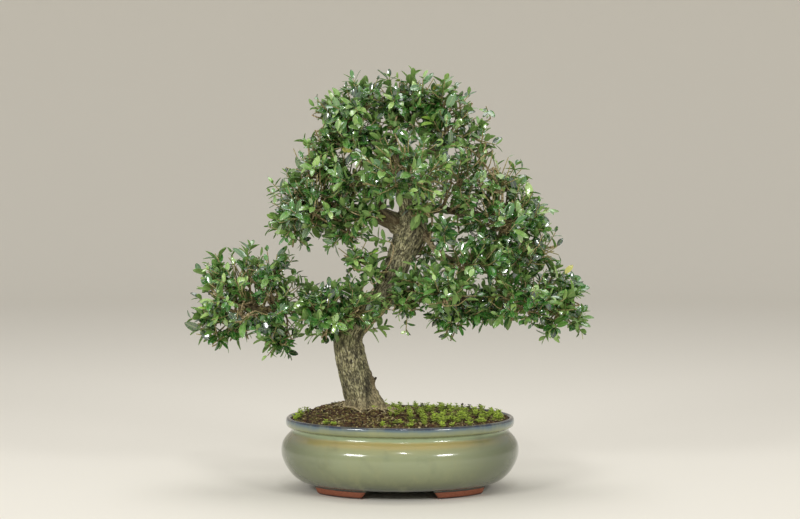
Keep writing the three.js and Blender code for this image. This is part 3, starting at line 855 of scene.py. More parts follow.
@dataclass(frozen=True)
class OvalPot:
    """The oval pot: a belly, a waist under a thick lip, a floor with two drains, and four feet."""

    oval_step: float = 30.0
    round_radius: float = 90.0
    columns: int = 176
    stations: int = 116
    floor_radius: float = 112.0
    floor_underside: float = 11.0
    floor_top: float = 20.0
    floor_rows: int = 5
    floor_columns: int = 26
    drain_places: Pair = (-50.0, 50.0)
    drain_radius: float = 10.0
    weld: float = 0.002
    noise: Grain = field(default_factory=lambda: Grain(3))
    uneven: float = 0.0016
    uneven_size: float = 34.0
    wall: tuple[Pair, ...] = (
        (112, 11), (119, 11), (125, 12), (132, 16), (139.5, 23.2), (146, 33.5), (149.8, 43.5), (150.6, 51.5),
        (149.4, 59), (146.4, 65), (142.6, 69.6), (139.4, 72.8), (138, 75.8), (138.2, 78.4), (140.4, 80.2),
        (143.2, 81.4), (144.6, 84.4), (144.7, 88.2), (144, 90.8), (142.4, 92.3), (140.4, 92.2),
        (138.8, 90.8), (137.2, 88), (135, 84), (132.4, 79), (130.6, 75), (131.4, 70), (136, 64),
        (139.8, 57), (141.5, 50), (139.5, 39), (132.5, 28), (122, 21.4), (112, 20),
    )
    foot_outer: float = 116.0
    foot_width: float = 18.0
    foot_lean: float = 5.5
    foot_top: float = 12.5
    front_gap: Pair = (48.0, 40.0)
    end_gap: Pair = (39.0, 42.0)
    foot_loop: tuple[Pair, ...] = (
        (0.0, 12.5), (0.0, 9.5), (0.0, 6.0), (0.0, 1.8), (0.02, 0.7), (0.07, 0.0), (0.35, 0.0),
        (0.65, 0.0), (0.93, 0.0), (0.98, 0.7), (1.0, 1.8), (1.0, 6.0), (1.0, 12.5), (0.5, 12.5),
    )
    foot_steps: int = 22
    foot_inset: float = 0.9

    def width(self, radius: Array) -> Array:
        """Half width along Y of the ring whose half length along X is radius."""
        inner = radius * (self.round_radius - self.oval_step) / self.round_radius
        return np.where(radius > self.round_radius, radius - self.oval_step, inner)

    def ring(self, radius: Array, height: Array, angle: Array) -> Array:
        """Points of ovals at their heights: radius cos angle along X, width sin angle along Y."""
        x = radius * np.cos(angle)
        return np.stack([x, self.width(radius) * np.sin(angle), np.broadcast_to(height, x.shape)], axis=-1)

    def wall_shape(self) -> Shape:
        """The wall: its profile carried round the oval, with the slight unevenness of thick glaze."""
        share = np.linspace(0, 1, self.stations)
        profile = smooth_line(np.array(self.wall, float), share)
        points = self.ring(profile[:, :1], profile[:, 1:], around(self.columns)[None])
        uneven = self.noise.layered(points.reshape(-1, 3) / self.uneven_size, 2).reshape(points.shape[:2])
        points[..., :2] *= 1 + self.uneven * (uneven * np.sin(np.pi * share)[:, None])[..., None]
        return grid(points)

    def floor_shape(self, x: float) -> Shape:
        """Half of the floor with its drain: rows run from the wall in to the bore and out again.

        Each point lies on the straight line from the bore's rim to its own point of the border.

        Args:
            x: the drain's place, whose sign picks the half.

        Returns:
            The half floor, open at its border.
        """
        quarter = self.columns // 4
        turn = np.linspace(-np.pi / 2, np.pi / 2, 2 * quarter + 1)
        rim = self.ring(np.full(turn.shape, self.floor_radius), np.zeros(1), turn)[:, :2]
        across = np.linspace(1, -1, self.floor_columns)[1:-1, None] * rim[-1]
        border = np.concatenate([rim, across]) * [math.copysign(1, x), 1]
        middle = np.array([x, 0.0])
        bore = middle + self.drain_radius * unit(border - middle)
        inward = border + np.linspace(0, 1, self.floor_rows)[:, None, None] * (bore - border)
        flat = np.concatenate([inward, inward[::-1]])
        heights = np.repeat([self.floor_top, self.floor_underside], self.floor_rows)
        levels = np.broadcast_to(heights[:, None, None], flat.shape[:2] + (1,))
        return grid(np.concatenate([flat, levels], axis=-1))

    def foot_shape(self, sign_x: int, sign_y: int) -> Shape:
        """One foot: a slice of a leaning oval ring, cut by a slanted gap at each end.

        The outline at a height runs between the outer and the inner oval, from the front gap's
        plane to the end gap's plane.

        Args:
            sign_x: side along X.
            sign_y: side along Y.

        Returns:
            The foot, closed.
        """
        share, height = np.array(self.foot_loop).T
        lean = height / self.foot_top
        gap_x, gap_y = (low + (top - low) * lean for low, top in (self.front_gap, self.end_gap))
        steps = np.linspace(0, 1, self.foot_steps)[:, None]

        def edge(radius: Array) -> Array:
            """The oval of that radius between the two gaps."""
            start = np.arccos(gap_x / radius)
            stop = np.arcsin(gap_y / self.width(radius))
            return self.ring(radius[None, :], height[None, :], start + (stop - start) * steps)

        outer = edge(self.foot_outer + self.foot_lean * lean)
        inner = edge(self.foot_outer - self.foot_width - self.foot_lean * lean)
        points = outer + share[None, :, None] * (inner - outer)
        middle = points.mean(axis=1, keepdims=True)
        for end in (0, -1):
            inward = unit(middle[end] - points[end]) * self.foot_inset
            points[end, :, 2] += np.where(height < self.foot_top, inward[:, 2], 0)
            points[end, :, :2] += inward[:, :2]
        points = points * [sign_x, sign_y, 1]
        return capped(points[None], points[None, [0, -1]].mean(axis=2))

    def build(self, shop: Workshop) -> None:
        """Makes the pot in place of its CAD node, with doubled points merged and faces turned out.

        Args:
            shop: the workshop.
        """
        feet = [self.foot_shape(x, y) for x in (-1, 1) for y in (-1, 1)]
        floors = [self.floor_shape(x) for x in self.drain_places]
        mesh = shop.mesh("pot_glazed", Shape.joined([self.wall_shape(), *floors, *feet]))
        work = bmesh.new()
        work.from_mesh(mesh)
        bmesh.ops.remove_doubles(work, verts=work.verts, dist=self.weld * METRES)
        bmesh.ops.recalc_face_normals(work, faces=work.faces)
        work.to_mesh(mesh)
        work.free()
        shop.piece("pot_glazed", mesh, [CeladonGlaze().material()], "pot")


# The soil


@dataclass(frozen=True)
class SoilBed:
    """The mound of granular mix in the pot."""

    pot: OvalPot
    at_wall: float = 90.9
    at_middle: float = 92.0
    mound_at: Pair = (-60.0, 6.0)
    mound_rise: float = 16.0
    mound_spread: float = 44.0
    mound_fade: float = 5.0
    heap_size: float = 26.0
    heap_rise: float = 1.6
    crumb_size: float = 3.2
    crumb_rise: float = 0.9
    edge: float = 138.0
    inside: float = 0.985
    centre: float = 0.004
    skirt: tuple[Pair, ...] = (
        (136.4, 87.4), (132.4, 80), (129.8, 75), (130.4, 70), (139, 54), (139, 46), (131, 32),
        (118, 24), (1, 24),
    )
    rows: int = 74
    columns: int = 168
    granules: int = 5200
    granule_sizes: Pair = (0.7, 2.3)
    granule_lift: float = 0.35
    granule_seed: int = 21
    straws: int = 900
    straw_lengths: Pair = (3.0, 9.0)
    straw_radius: float = 0.32
    straw_reach: float = 0.95
    straw_lift: float = 1.2
    straw_seed: int = 23
    noise: Grain = field(default_factory=lambda: Grain(11))

    def height(self, x: Array, y: Array) -> Array:
        """Height of the surface at places: a rise from the wall, a mound round the trunk, and crumbs.

        Args:
            x: places along X.
            y: places along Y.

        Returns:
            Heights.
        """
        share = np.clip(np.hypot(x / self.edge, y / (self.edge - self.pot.oval_step)), 0, 1)
        fall = ((x - self.mound_at[0]) ** 2 + (y - self.mound_at[1]) ** 2) / (2 * self.mound_spread**2)
        mound = self.mound_rise * np.exp(-fall) * np.minimum(1, self.mound_fade * (1 - share))
        flat = np.stack([np.ravel(x), np.ravel(y), np.zeros(np.size(x))], axis=-1)
        heaps = self.noise.layered(flat / self.heap_size, 2).reshape(np.shape(x)) * self.heap_rise
        crumbs = self.noise.layered(flat / self.crumb_size + 5, 3).reshape(np.shape(x)) * self.crumb_rise
        level = self.at_wall + (self.at_middle - self.at_wall) * (1 - share)
        return level + mound + heaps * (1 - share**4) + crumbs

    def spots(self, count: int, reach: float, random: Random) -> tuple[Array, Array]:
        """Draws even places on the soil, out to a share of its edge, as X and Y."""
        share = np.sqrt(random.random(count)) * reach
        angle = random.random(count) * 2 * np.pi
        return share * self.edge * np.cos(angle), share * (self.edge - self.pot.oval_step) * np.sin(angle)

    def bed(self) -> Shape:
        """The body of the soil: its surface, and below it the shape of the pot's inside.

        Returns:
            The closed bed.
        """
        angle = around(self.columns)[None]
        radii = np.linspace(self.centre, 1, self.rows)[:, None] * self.edge
        top = self.pot.ring(radii, np.zeros(1), angle)
        top[..., 1] = radii * (self.edge - self.pot.oval_step) / self.edge * np.sin(angle)
        top[..., 2] = self.height(top[..., 0], top[..., 1])
        below = np.array(self.skirt)
        points = np.concatenate([top, self.pot.ring(below[:, :1], below[:, 1:], angle)])[::-1]
        made = capped(points[None], points[None, [0, -1]].mean(axis=2))
        return made.marked(tone=np.clip(0.25 + 0.3 * self.noise.at(made.points / 2.4), 0, 1))

    def scatter(self, random: Random) -> Shape:
        """Granules that lie on the surface: lumpy pebbles with the twelve corners of an icosahedron.

        A pebble's point is its middle plus size times a direction times its own uneven factor.

        Args:
            random: the random draw.

        Returns:
            The granules.
        """
        count = self.granules
        x, y = self.spots(count, self.inside, random)
        low, high = self.granule_sizes
        size = low + (high - low) * random.random(count) ** 3
        middle = np.stack([x, y, self.height(x, y) + size * self.granule_lift], axis=-1)
        signs = [(s, t) for s in (-1, 1) for t in (-1, 1)]
        corners = unit(np.array([np.roll([s, t * GOLDEN, 0.0], k) for k in range(3) for s, t in signs]))
        near = np.linalg.norm(corners[:, None] - corners[None], axis=-1) < 1.2
        trios = combinations(range(12), 3)
        faces = np.array([trio for trio in trios if all(near[pair] for pair in combinations(trio, 2))])
        turned_in = np.linalg.det(corners[faces]) < 0
        faces[turned_in] = faces[turned_in][:, [0, 2, 1]]
        uneven = 0.78 + 0.44 * random.random((count, 12, 1))
        breadth, depth = 0.7 + 0.5 * random.random(count), 0.6 + 0.4 * random.random(count)
        squash = np.stack([np.ones(count), breadth, depth], axis=-1)
        px, py, pz = np.moveaxis(corners * uneven * squash[:, None], -1, 0)
        spin = random.random(count)[:, None] * 2 * np.pi
        c, s = np.cos(spin), np.sin(spin)
        turned = np.stack([c * px - s * py, s * px + c * py, pz], axis=-1)
        points = middle[:, None] + size[:, None, None] * turned
        tone = np.repeat(random.random(count), 12)
        return Shape(points.reshape(-1, 3), triangles=copied(faces, count, 12)).marked(tone=tone)

    def litter(self, random: Random) -> Shape:
        """Dry needles, straws and root ends that lie over the granules.

        Args:
            random: the random draw.

        Returns:
            The litter.
        """
        count = self.straws
        x, y = self.spots(count, self.straw_reach, random)
        middle = np.stack([x, y, self.height(x, y) + self.straw_lift], axis=-1)
        turn = random.random(count) * 2 * np.pi
        way = np.stack([np.cos(turn), np.sin(turn), random.normal(0, 0.22, count)], axis=-1)
        half = way * random.uniform(*self.straw_lengths, (count, 1)) / 2
        rise = random.normal(0, 0.8, (count, 3)) + [0, 0, 0.8]
        lines = bent(middle - half, middle + rise, middle + half, 4)
        made = tubes(lines, np.full((count, 4), self.straw_radius) * random.uniform(0.7, 1.5, (count, 1)), 4)
        tone = np.repeat(random.uniform(0.45, 1.0, count), len(made.points) // count)
        return made.marked(tone=tone)

    def build(self, shop: Workshop) -> None:
        """Makes the soil in place of its CAD node.

        Args:
            shop: the workshop.
        """
        granules = self.scatter(np.random.default_rng(self.granule_seed))
        litter = self.litter(np.random.default_rng(self.straw_seed))
        mesh = shop.mesh("soil_granules", Shape.joined([self.bed(), granules, litter]))
        shop.piece("soil_granules", mesh, [BonsaiMix().material()], "soil")


# The wood


def bell(points: Array, middle: Point, reach: Union[float, Point]) -> Array:
    """One at the middle and less round it, by e^-(distance / reach)^2."""
    return np.exp(-np.sum(((points - middle) / reach) ** 2, axis=1))


@dataclass(frozen=True)
class Wood:
    """Trunk, surface roots and limbs, as rows of x, y, z and radius along their middle lines.

    A bump is a place with its spread and rise; the buttress, the painted shade in a groove
    beside it and the pale bark are places with their reach along X, Y and Z.
    """

    trunk: tuple[Station, ...] = (
        (-43, 6, 72, 14), (-44, 6, 88, 22), (-45.5, 5, 102, 25), (-49.5, 4, 117, 21.5), (-57, 0, 144, 20.4),
        (-64, -5, 174, 19.2), (-64.5, -8, 196, 18.2), (-50, -7, 219, 17.5), (-27, -3, 239, 17),
        (-12.6, 0, 260, 16.2), (-0.4, 3, 293, 16.8), (11, 4, 318, 19.5), (15, 2, 340, 16), (7, -4, 368, 9.5),
        (-3, -7, 404, 6.5), (-8, -6, 434, 4.4), (-5, -5, 458, 3),
    )
    roots: tuple[tuple[Station, ...], ...] = (
        ((-41, 0, 150, 5), (-39, -2, 132, 7), (-31, -3, 113, 8.4), (-14, -4, 90, 6)),
        ((-48, -8, 118, 8), (-47, -20, 103, 8), (-42, -30, 88, 5)),
        ((-58, 12, 116, 8), (-66, 20, 102, 8), (-72, 26, 88, 5)),
        ((-60, -6, 112, 7), (-68, -13, 100, 7), (-74, -18, 88, 4)),
    )
    snag: tuple[Station, ...] = ((-46, -2, 131, 8), (-36.8, -3, 138.8, 6.4), (-34, -4, 142.4, 4.4))
    limbs: dict[str, tuple[Station, ...]] = field(default_factory=lambda: {
        "left_low": (
            (-58, -6, 209, 9), (-92, -8, 226, 7), (-130, -8, 234, 5.6), (-174, -6, 229, 4.2),
            (-214, -4, 240, 2.4),
        ),
        "left_inner": ((-58, -8, 203, 6), (-68, -34, 212, 4.4), (-86, -58, 222, 2.6)),
        "right_low": (
            (-16, 0, 250, 10), (34, 4, 243, 7.5), (92, 5, 238, 5.8), (150, 0, 234, 4), (196, -3, 228, 2.6),
        ),
        "right_inner": ((-12, -4, 258, 6.5), (15, -35, 247, 4.4), (46, -61, 241, 2.7)),
        "right_mid": (
            (18, 3, 327, 9), (34, -4, 319, 5), (43, -8, 306, 4), (64, -10, 292, 3.6), (108, -8, 284, 2.4),
        ),
        "left_up": (
            (8, 3, 334, 11), (-12, -2, 346, 7.8), (-34, -4, 351.5, 5.2), (-74, -4, 359, 4.8),
            (-124, -8, 352, 2.8),
        ),
        "right_up": (
            (22, 3, 334, 6), (40, 0, 356, 4.4), (78, 4, 350, 5), (124, 5, 345, 3.6), (158, 3, 340, 2.4),
        ),
        "back_low": ((-6, 4, 284, 8), (4, 48, 287, 5), (18, 88, 288, 3)),
        "back_up": ((10, 3, 350, 7), (2, 42, 364, 4.8), (0, 82, 376, 3)),
        "front_up": ((5, -4, 374, 6), (4, -34, 386, 4), (4, -62, 394, 2.6)),
        "crown_left": ((1, -6, 388, 6), (-24, -5, 414, 4.2), (-54, -2, 434, 2.6)),
        "crown_right": ((-3, -7, 400, 6), (26, -4, 420, 4.2), (58, 0, 438, 2.6)),
        "leader": ((-6, -5, 446, 3.6), (-2, -3, 458, 2.8), (2, -2, 466, 2.2)),
        "sprig": ((-12, -4, 262, 5), (-34, -12, 280, 2.4), (-46, -15, 292, 1.8)),
    })
    side_shoots: tuple[tuple[Station, ...], ...] = (
        (
            (2, 0, 330, 9), (-14, -6, 337, 6.2), (-30, -10, 341, 3.6), (-44, -14, 350, 2.4),
            (-60, -16, 352, 1.6),
        ),
        ((-6, -8, 340, 5), (-20, -16, 352, 2.8), (-28, -24, 366, 1.8)),
        ((-12, -4, 346, 5), (-24, -2, 360, 2.6), (-27, 2, 376, 1.8)),
        ((-24, -4, 349, 4), (-38, -12, 344, 2.2), (-50, -20, 339, 1.5)),
        ((36, 0, 349, 3), (52, -8, 352, 2.2), (88, -14, 346, 1.5)),
    )
    fork: tuple[tuple[Station, ...], ...] = (
        ((-60, -20, 210, 2.6), (-52, -27, 222, 2.2), (-33, -29, 256, 1.5)),
        ((-52, -27, 222, 2.2), (-45, -30, 225, 1.6), (-38, -32, 224, 1.3)),
    )
    nub: tuple[Station, ...] = (
        (-34.5, -4, 137.5, 1.3), (-32.4, -5, 138.8, 1.1), (-31, -5, 140.8, 1.5), (-30.5, -5, 142.6, 1.4),
    )
    rootlets: int = 54
    rootlet_ring: Pair = (21.0, 52.0)
    rootlet_sector: Pair = (-0.95 * math.pi, 0.15 * math.pi)
    rootlet_radii: Pair = (1.1, 0.6)
    rootlet_seed: int = 13
    flare_count: int = 5
    flare_depth: float = 0.13
    flare_top: float = 135.0
    flare_height: float = 40.0
    collar: float = 0.3
    collar_fade: float = 8.0
    voxel: float = 1.35
    soften_steps: int = 5
    trunk_sides: int = 56
    trunk_steps: int = 260
    limb_sides: int = 20
    limb_steps: int = 46
    limb_spacing: float = 300.0
    root_steps: int = 26
    stout_radius: float = 15.0
    plate_size: Point = (6.0, 6.0, 17.0)
    lump_size: Point = (30.0, 30.0, 40.0)
    flake_size: Point = (2.4, 2.4, 6.0)
    fissure_size: Point = (4.4, 4.4, 16.0)
    crack_size: Point = (3.0, 3.0, 9.0)
    knuckle_size: Point = (8.0, 8.0, 6.0)
    bumps: tuple[tuple[Point, float, float], ...] = (
        ((-46, -6, 168), 7.0, 1.2), ((-72, -16, 186), 8.0, 1.2), ((-44, 2, 182), 4.0, 1.8),
        ((-6, -14, 312), 7.0, 1.4), ((30, -4, 326), 8.0, 2.4), ((-6, -6, 326), 8.0, 2.0),
        ((-40, -20, 214), 9.0, 1.4), ((-58, -18, 128), 9.0, 1.0),
    )
    buttress: tuple[Point, Point] = ((-33, -6, 128), (8, 16, 24))
    # Painted shade strip in the groove beside the buttress; the groove has no relief of its own.
    groove_shade: tuple[Point, Point] = ((-41, -12, 132), (3.5, 14, 20))
    pale_bark: tuple[Point, Point] = ((46, -9, 306), (18, 14, 18))
    pale_radius: float = 6.5
    bare_top: float = 124.0
    bare_fade: float = 22.0
    thin_below: float = 9.0
    thin_fade: float = 3.0
    noise: Grain = field(default_factory=lambda: Grain(5))

    def line(self, route: Sequence[Station], steps: int, start: float = 0.0) -> Array:
        """A route's stations from a share of its length on, evenly spread: rows of x, y, z, radius."""
        return smooth_line(np.array(route, float), np.linspace(start, 1, steps))

    def rod(self, route: Sequence[Station], steps: int, sides: int, collar: float = 0.0) -> Shape:
        """A limb whose first stretch widens into what it grows from, by 1 + collar e^(-fade share).

        Args:
            route: its stations.
            steps: rings.
            sides: points in a ring.
            collar: widening at its root.

        Returns:
            The closed limb.
        """
        rows = self.line(route, steps)
        grown = rows[:, 3] * (1 + collar * np.exp(-self.collar_fade * np.linspace(0, 1, steps)))
        return tubes(rows[None, :, :3], grown[None], sides)

    def stem(self) -> Shape:
        """The trunk with its flare: near the soil the radius swells five times round.

        Returns:
            The closed trunk.
        """
        rows = self.line(self.trunk, self.trunk_steps)
        fade = np.clip((self.flare_top - rows[:, 2]) / self.flare_height, 0, 1)
        lobes = np.cos(self.flare_count * around(self.trunk_sides) + 0.7)
        swell = 1 + self.flare_depth * fade[:, None] * lobes
        return tubes(rows[None, :, :3], rows[None, :, 3], self.trunk_sides, swell[None])

    def fused(self, shop: Workshop) -> tuple[Array, Array]:
        """Melts trunk, roots and limbs into one skin of even quads and softens its joins.

        Args:
            shop: the workshop.

        Returns:
            The skin's points, in millimetres from the pot's middle, and its quads.
        """
        rods = [self.rod(route, self.root_steps, self.limb_sides) for route in (*self.roots, self.snag)]
        limbs = (*self.side_shoots, *self.limbs.values())
        rods += [self.rod(route, self.limb_steps, self.limb_sides, self.collar) for route in limbs]
        mesh = shop.mesh("wood_rough", Shape.joined([self.stem(), *rods]))
        rough = shop.placed("wood_rough", mesh)
        remesh = rough.modifiers.new("melt", "REMESH")
        remesh.mode = "VOXEL"
        remesh.voxel_size = self.voxel * METRES
        soften = rough.modifiers.new("soften", "SMOOTH")
        soften.iterations = self.soften_steps
        graph = bpy.context.evaluated_depsgraph_get()
        skin = bpy.data.meshes.new_from_object(rough.evaluated_get(graph))
        points = np.zeros(3 * len(skin.vertices), np.float32)
        skin.vertices.foreach_get("co", points)
        corners = np.zeros(len(skin.loops), np.int32)
        skin.loops.foreach_get("vertex_index", corners)
        bpy.data.objects.remove(rough)
        bpy.data.meshes.remove(skin)
        bpy.data.meshes.remove(mesh)
        return (points.reshape(-1, 3).astype(float) - shop.shift) / METRES, corners.reshape(-1, 4)

    def along_grain(self, points: Array) -> tuple[Array, Array]:
        """Where each point lies on the wood that carries it.

        The nearest station is the one whose sphere's surface is nearest. The coordinates are the
        two offsets square to the line there, and the length along the line.

        Args:
            points: rows of points.

        Returns:
            Coordinates along the grain, in millimetres, and the radius of the wood there.
        """
        routes = [self.trunk, *self.roots, self.snag, *self.side_shoots, *self.limbs.values()]
        parts = []
        for number, route in enumerate(routes):
            row = self.line(route, 200 if route is self.trunk else 48)
            step = np.linalg.norm(np.diff(row[:, :3], axis=0), axis=1)
            length = np.concatenate([[0], np.cumsum(step)]) + self.limb_spacing * number
            parts.append((row[:, :3], row[:, 3], length, *(way[0] for way in ring_frame(row[None, :, :3]))))
        centre, radius, length, along, side, other = (np.concatenate(part) for part in zip(*parts))
        nearest = np.concatenate([
            np.argmin(np.linalg.norm(part[:, None] - centre[None], axis=-1) - radius[None], axis=1)
            for part in np.array_split(points, max(1, len(points) // 2000))
        ])
        offset = points - centre[nearest]
        x, y, z = (np.sum(offset * way[nearest], axis=1) for way in (side, other, along))
        return np.stack([x, y, length[nearest] + z], axis=-1), radius[nearest]

    def normals(self, points: Array, quads: Array) -> Array:
        """Outward ways at the points: the sum of the crossed diagonals of the faces round them."""
        corner = points[quads]
        face = np.cross(corner[:, 2] - corner[:, 0], corner[:, 3] - corner[:, 1])
        total = np.zeros_like(points)
        for k in range(4):
            np.add.at(total, quads[:, k], face)
        return unit(total)

    def skin(self, shop: Workshop) -> Shape:
        """The fused wood with its bark relief.

        The relief is broad lumps, plates drawn out along the grain, thin deep fissures between
        them, and single bumps where twigs were cut away. It fades out on thin wood.

        Args:
            shop: the workshop.

        Returns:
            The wood, with its marks for the bark.
        """
        points, quads = self.fused(shop)
        grain, radius = self.along_grain(points)
        stout = np.clip(radius / self.stout_radius, 0.05, 1)
        plates = self.noise.layered(grain / self.plate_size, 3)
        lumps = self.noise.layered(grain / self.lump_size + 40, 2)
        flakes = self.noise.layered(grain / self.flake_size + 80, 2)
        cracks = 0.9 * self.noise.creases(grain / self.crack_size + 31)
        fissures = np.maximum(self.noise.creases(grain / self.fissure_size + 11), cracks)
        relief = stout * (0.45 * plates + 0.8 * lumps + 0.4 * flakes - fissures)
        knuckles = self.noise.layered(grain / self.knuckle_size + 120, 2)
        relief += 0.16 * radius * np.clip(1.2 - radius / 12, 0, 1) * knuckles
        for middle, spread, rise in self.bumps:
            relief += rise * bell(points, middle, spread * math.sqrt(2))
        points = points + relief[:, None] * self.normals(points, quads)
        foot = np.clip((self.bare_top - points[:, 2]) / self.bare_fade, 0, 1)
        pale = bell(points, *self.pale_bark) * (radius < self.pale_radius)
        # Painted shade in the fissures and the low parts of the plates, partly the darker bark of the
        # fissures; the depth mark also takes a painted shade strip in the groove.
        dark = stout * (0.8 * fissures + 0.25 * np.clip(-plates, 0, 1))
        return Shape(points, quads).marked(
            grain=grain * METRES,
            depth=np.clip(dark + 0.8 * bell(points, *self.groove_shade), 0, 1),
            bare=np.clip(0.75 * foot + 0.7 * bell(points, *self.buttress) + pale, 0, 1),
            # Thin wood takes the darker limb colour, in part painted shade of the canopy.
            thin=np.clip((self.thin_below - radius) / self.thin_fade, 0, 1) * (1 - pale),
        )

    @staticmethod
    def barked(shape: Shape, depth: float, bare: float, thin: float) -> Shape:
        """Gives a small part the same marks for the bark all over."""
        return shape.marked(grain=shape.points * METRES, depth=depth, bare=bare, thin=thin)

    def cut_fork(self) -> Shape:
        """The bare pale fork in front of the trunk, and the dark nub on its side."""
        pale = Shape.joined([self.rod(route, 16, 10, self.collar) for route in self.fork])
        dark = self.rod(self.nub, 12, 10)
        return Shape.joined([self.barked(pale, 0.0, 1.0, 0.0), self.barked(dark, 1.0, 0.0, 1.0)])

    def surface_rootlets(self, soil: SoilBed, random: Random) -> Shape:
        """Thin pale roots that loop over the soil round the foot of the trunk.

        Args:
            soil: the soil that they lie on.
            random: the random draw.

        Returns:
            The rootlets.
        """
        count = self.rootlets
        turn = random.uniform(*self.rootlet_sector, count)
        low, high = self.rootlet_ring
        centre = np.array(self.trunk[1][:2])

        def on_soil(reach: Array, angle: Array, lift: float) -> Array:
            """Points at a distance from the trunk's middle, on or above the soil."""
            flat = centre + reach[:, None] * np.stack([np.cos(angle), np.sin(angle)], axis=-1)
            return np.column_stack([flat, soil.height(flat[:, 0], flat[:, 1]) + lift])

        start = on_soil(random.uniform(low - 3, low + 12, count), turn, 2.5)
        stop = on_soil(random.uniform(low + 8, high, count), turn + random.normal(0, 0.4, count), -1.0)
        over = (start + stop) / 2 + np.column_stack([random.normal(0, 4.5, (count, 2)), np.full(count, 4.0)])
        radii = np.linspace(*self.rootlet_radii, 9)[None] * random.uniform(0.6, 1.3, (count, 1))
        return self.barked(tubes(bent(start, over, stop, 9), radii, 6), 0.0, 1.0, 0.0)

    def build(self, shop: Workshop, soil: SoilBed) -> None:
        """Makes the wood in place of its CAD node.

        Args:
            shop: the workshop.
            soil: the soil that it stands in.
        """
        rootlets = self.surface_rootlets(soil, np.random.default_rng(self.rootlet_seed))
        mesh = shop.mesh("wood_bark", Shape.joined([self.skin(shop), self.cut_fork(), rootlets]))
        shop.piece("wood_bark", mesh, [Bark().material()], "wood")


# The leaves


@dataclass(frozen=True)
class LeafBlade:
    """A small lance-shaped leaf: two halves folded up from a midrib, arched along its length.

    Its points are the foot, the tip, then left, top, right and below at each station.
    """

    stations: tuple[float, ...] = (0.1, 0.27, 0.5, 0.74, 0.92)
    outline: tuple[float, ...] = (0.18, 0.74, 1.0, 0.84, 0.42)
    rib_top: float = 0.16
    rib_below: float = 0.28
    wave_turns: float = 9.0

    def size(self) -> int:
        """Points in one leaf."""
        return 2 + 4 * len(self.stations)

    def faces(self) -> tuple[Array, Array]:
        """Quads and triangles of one leaf: two upper strips, then two lower ones."""
        left, top, right, below = (np.arange(2, self.size(), 4) + k for k in range(4))
        sides = [(top, left), (right, top), (left, below), (below, right)]
        quads = np.concatenate([np.stack([a[:-1], a[1:], b[1:], b[:-1]], axis=-1) for a, b in sides])
        return quads, np.array([[0, a[0], b[0]] for a, b in sides] + [[a[-1], 1, b[-1]] for a, b in sides])

    def shape(
        self,
        foot: Array,
        axis: Array,
        up: Array,
        length: Array,
        half: Array,
        fold: Array,
        arch: Array,
        wave: Array,
        **marks: Array,
    ) -> Shape:
        """Many leaves at once.

        A point is the foot, plus length times share along the axis, plus its place across, plus
        its height: fold times the distance from the midrib, less arch times length times the
        share squared, with a slow wave in the edge.

        Args:
            foot: where each leaf is joined.
            axis: the way that it points.
            up: its upper side.
            length: its length.
            half: half its width.
            fold: slope of its halves.
            arch: droop of its tip, as a share of its length.
            wave: height of the wave in its edge.
            marks: values that the whole leaf carries.

        Returns:
            The leaves.
        """
        count = len(foot)
        up = unit(up - np.sum(up * axis, axis=1, keepdims=True) * axis)
        side = np.cross(up, axis)
        at = np.array(self.stations)
        wide = half[:, None] * np.array(self.outline)
        droop = -(arch * length)[:, None] * at**2
        lift = fold[:, None] * wide
        ripple = wave[:, None] * np.sin(self.wave_turns * at + length[:, None])
        below = droop - self.rib_below * (1 - 0.5 * at)
        across = np.stack([wide, 0 * wide, -wide, 0 * wide], axis=-1)
        edge = droop + lift
        height = np.stack([edge + ripple, droop + self.rib_top, edge - ripple, below], axis=-1)
        along = length[:, None, None] * np.broadcast_to(at[:, None], across.shape)
        inner = (
            foot[:, None, None]
            + along[..., None] * axis[:, None, None]
            + across[..., None] * side[:, None, None]
            + height[..., None] * up[:, None, None]
        ).reshape(count, -1, 3)
        tip = foot + length[:, None] * axis - (arch * length)[:, None] * up
        points = np.concatenate([foot[:, None], tip[:, None], inner], axis=1)
        quads, triangles = (copied(faces, count, self.size()) for faces in self.faces())
        made = Shape(points.reshape(-1, 3), quads, triangles)
        made.marked(
            across=np.tile([0.0, 0.0] + [1.0, 0.0, 1.0, 0.0] * len(at), count),
            along=np.tile(np.concatenate([[0.0, 1.0], np.repeat(at, 4)]), count),
            **{name: np.repeat(values, self.size()) for name, values in marks.items()},
        )
        underside = np.array([0.0, 0.0, 1.0, 1.0])
        made.quad_marks["underside"] = np.tile(np.repeat(underside, len(at) - 1), count)
        made.triangle_marks["underside"] = np.tile(underside, 2 * count)
        return made


@dataclass(frozen=True)
class Clump:
    """A cloud of leafy shoots round an ellipsoid.

    Under says how far down its shell the shoots go, and gaps how low the noise must be for a
    space among the leaves.
    """

    middle: Point
    reach: Point
    shoots: int
    under: float = 0.72
    gaps: float = 0.34


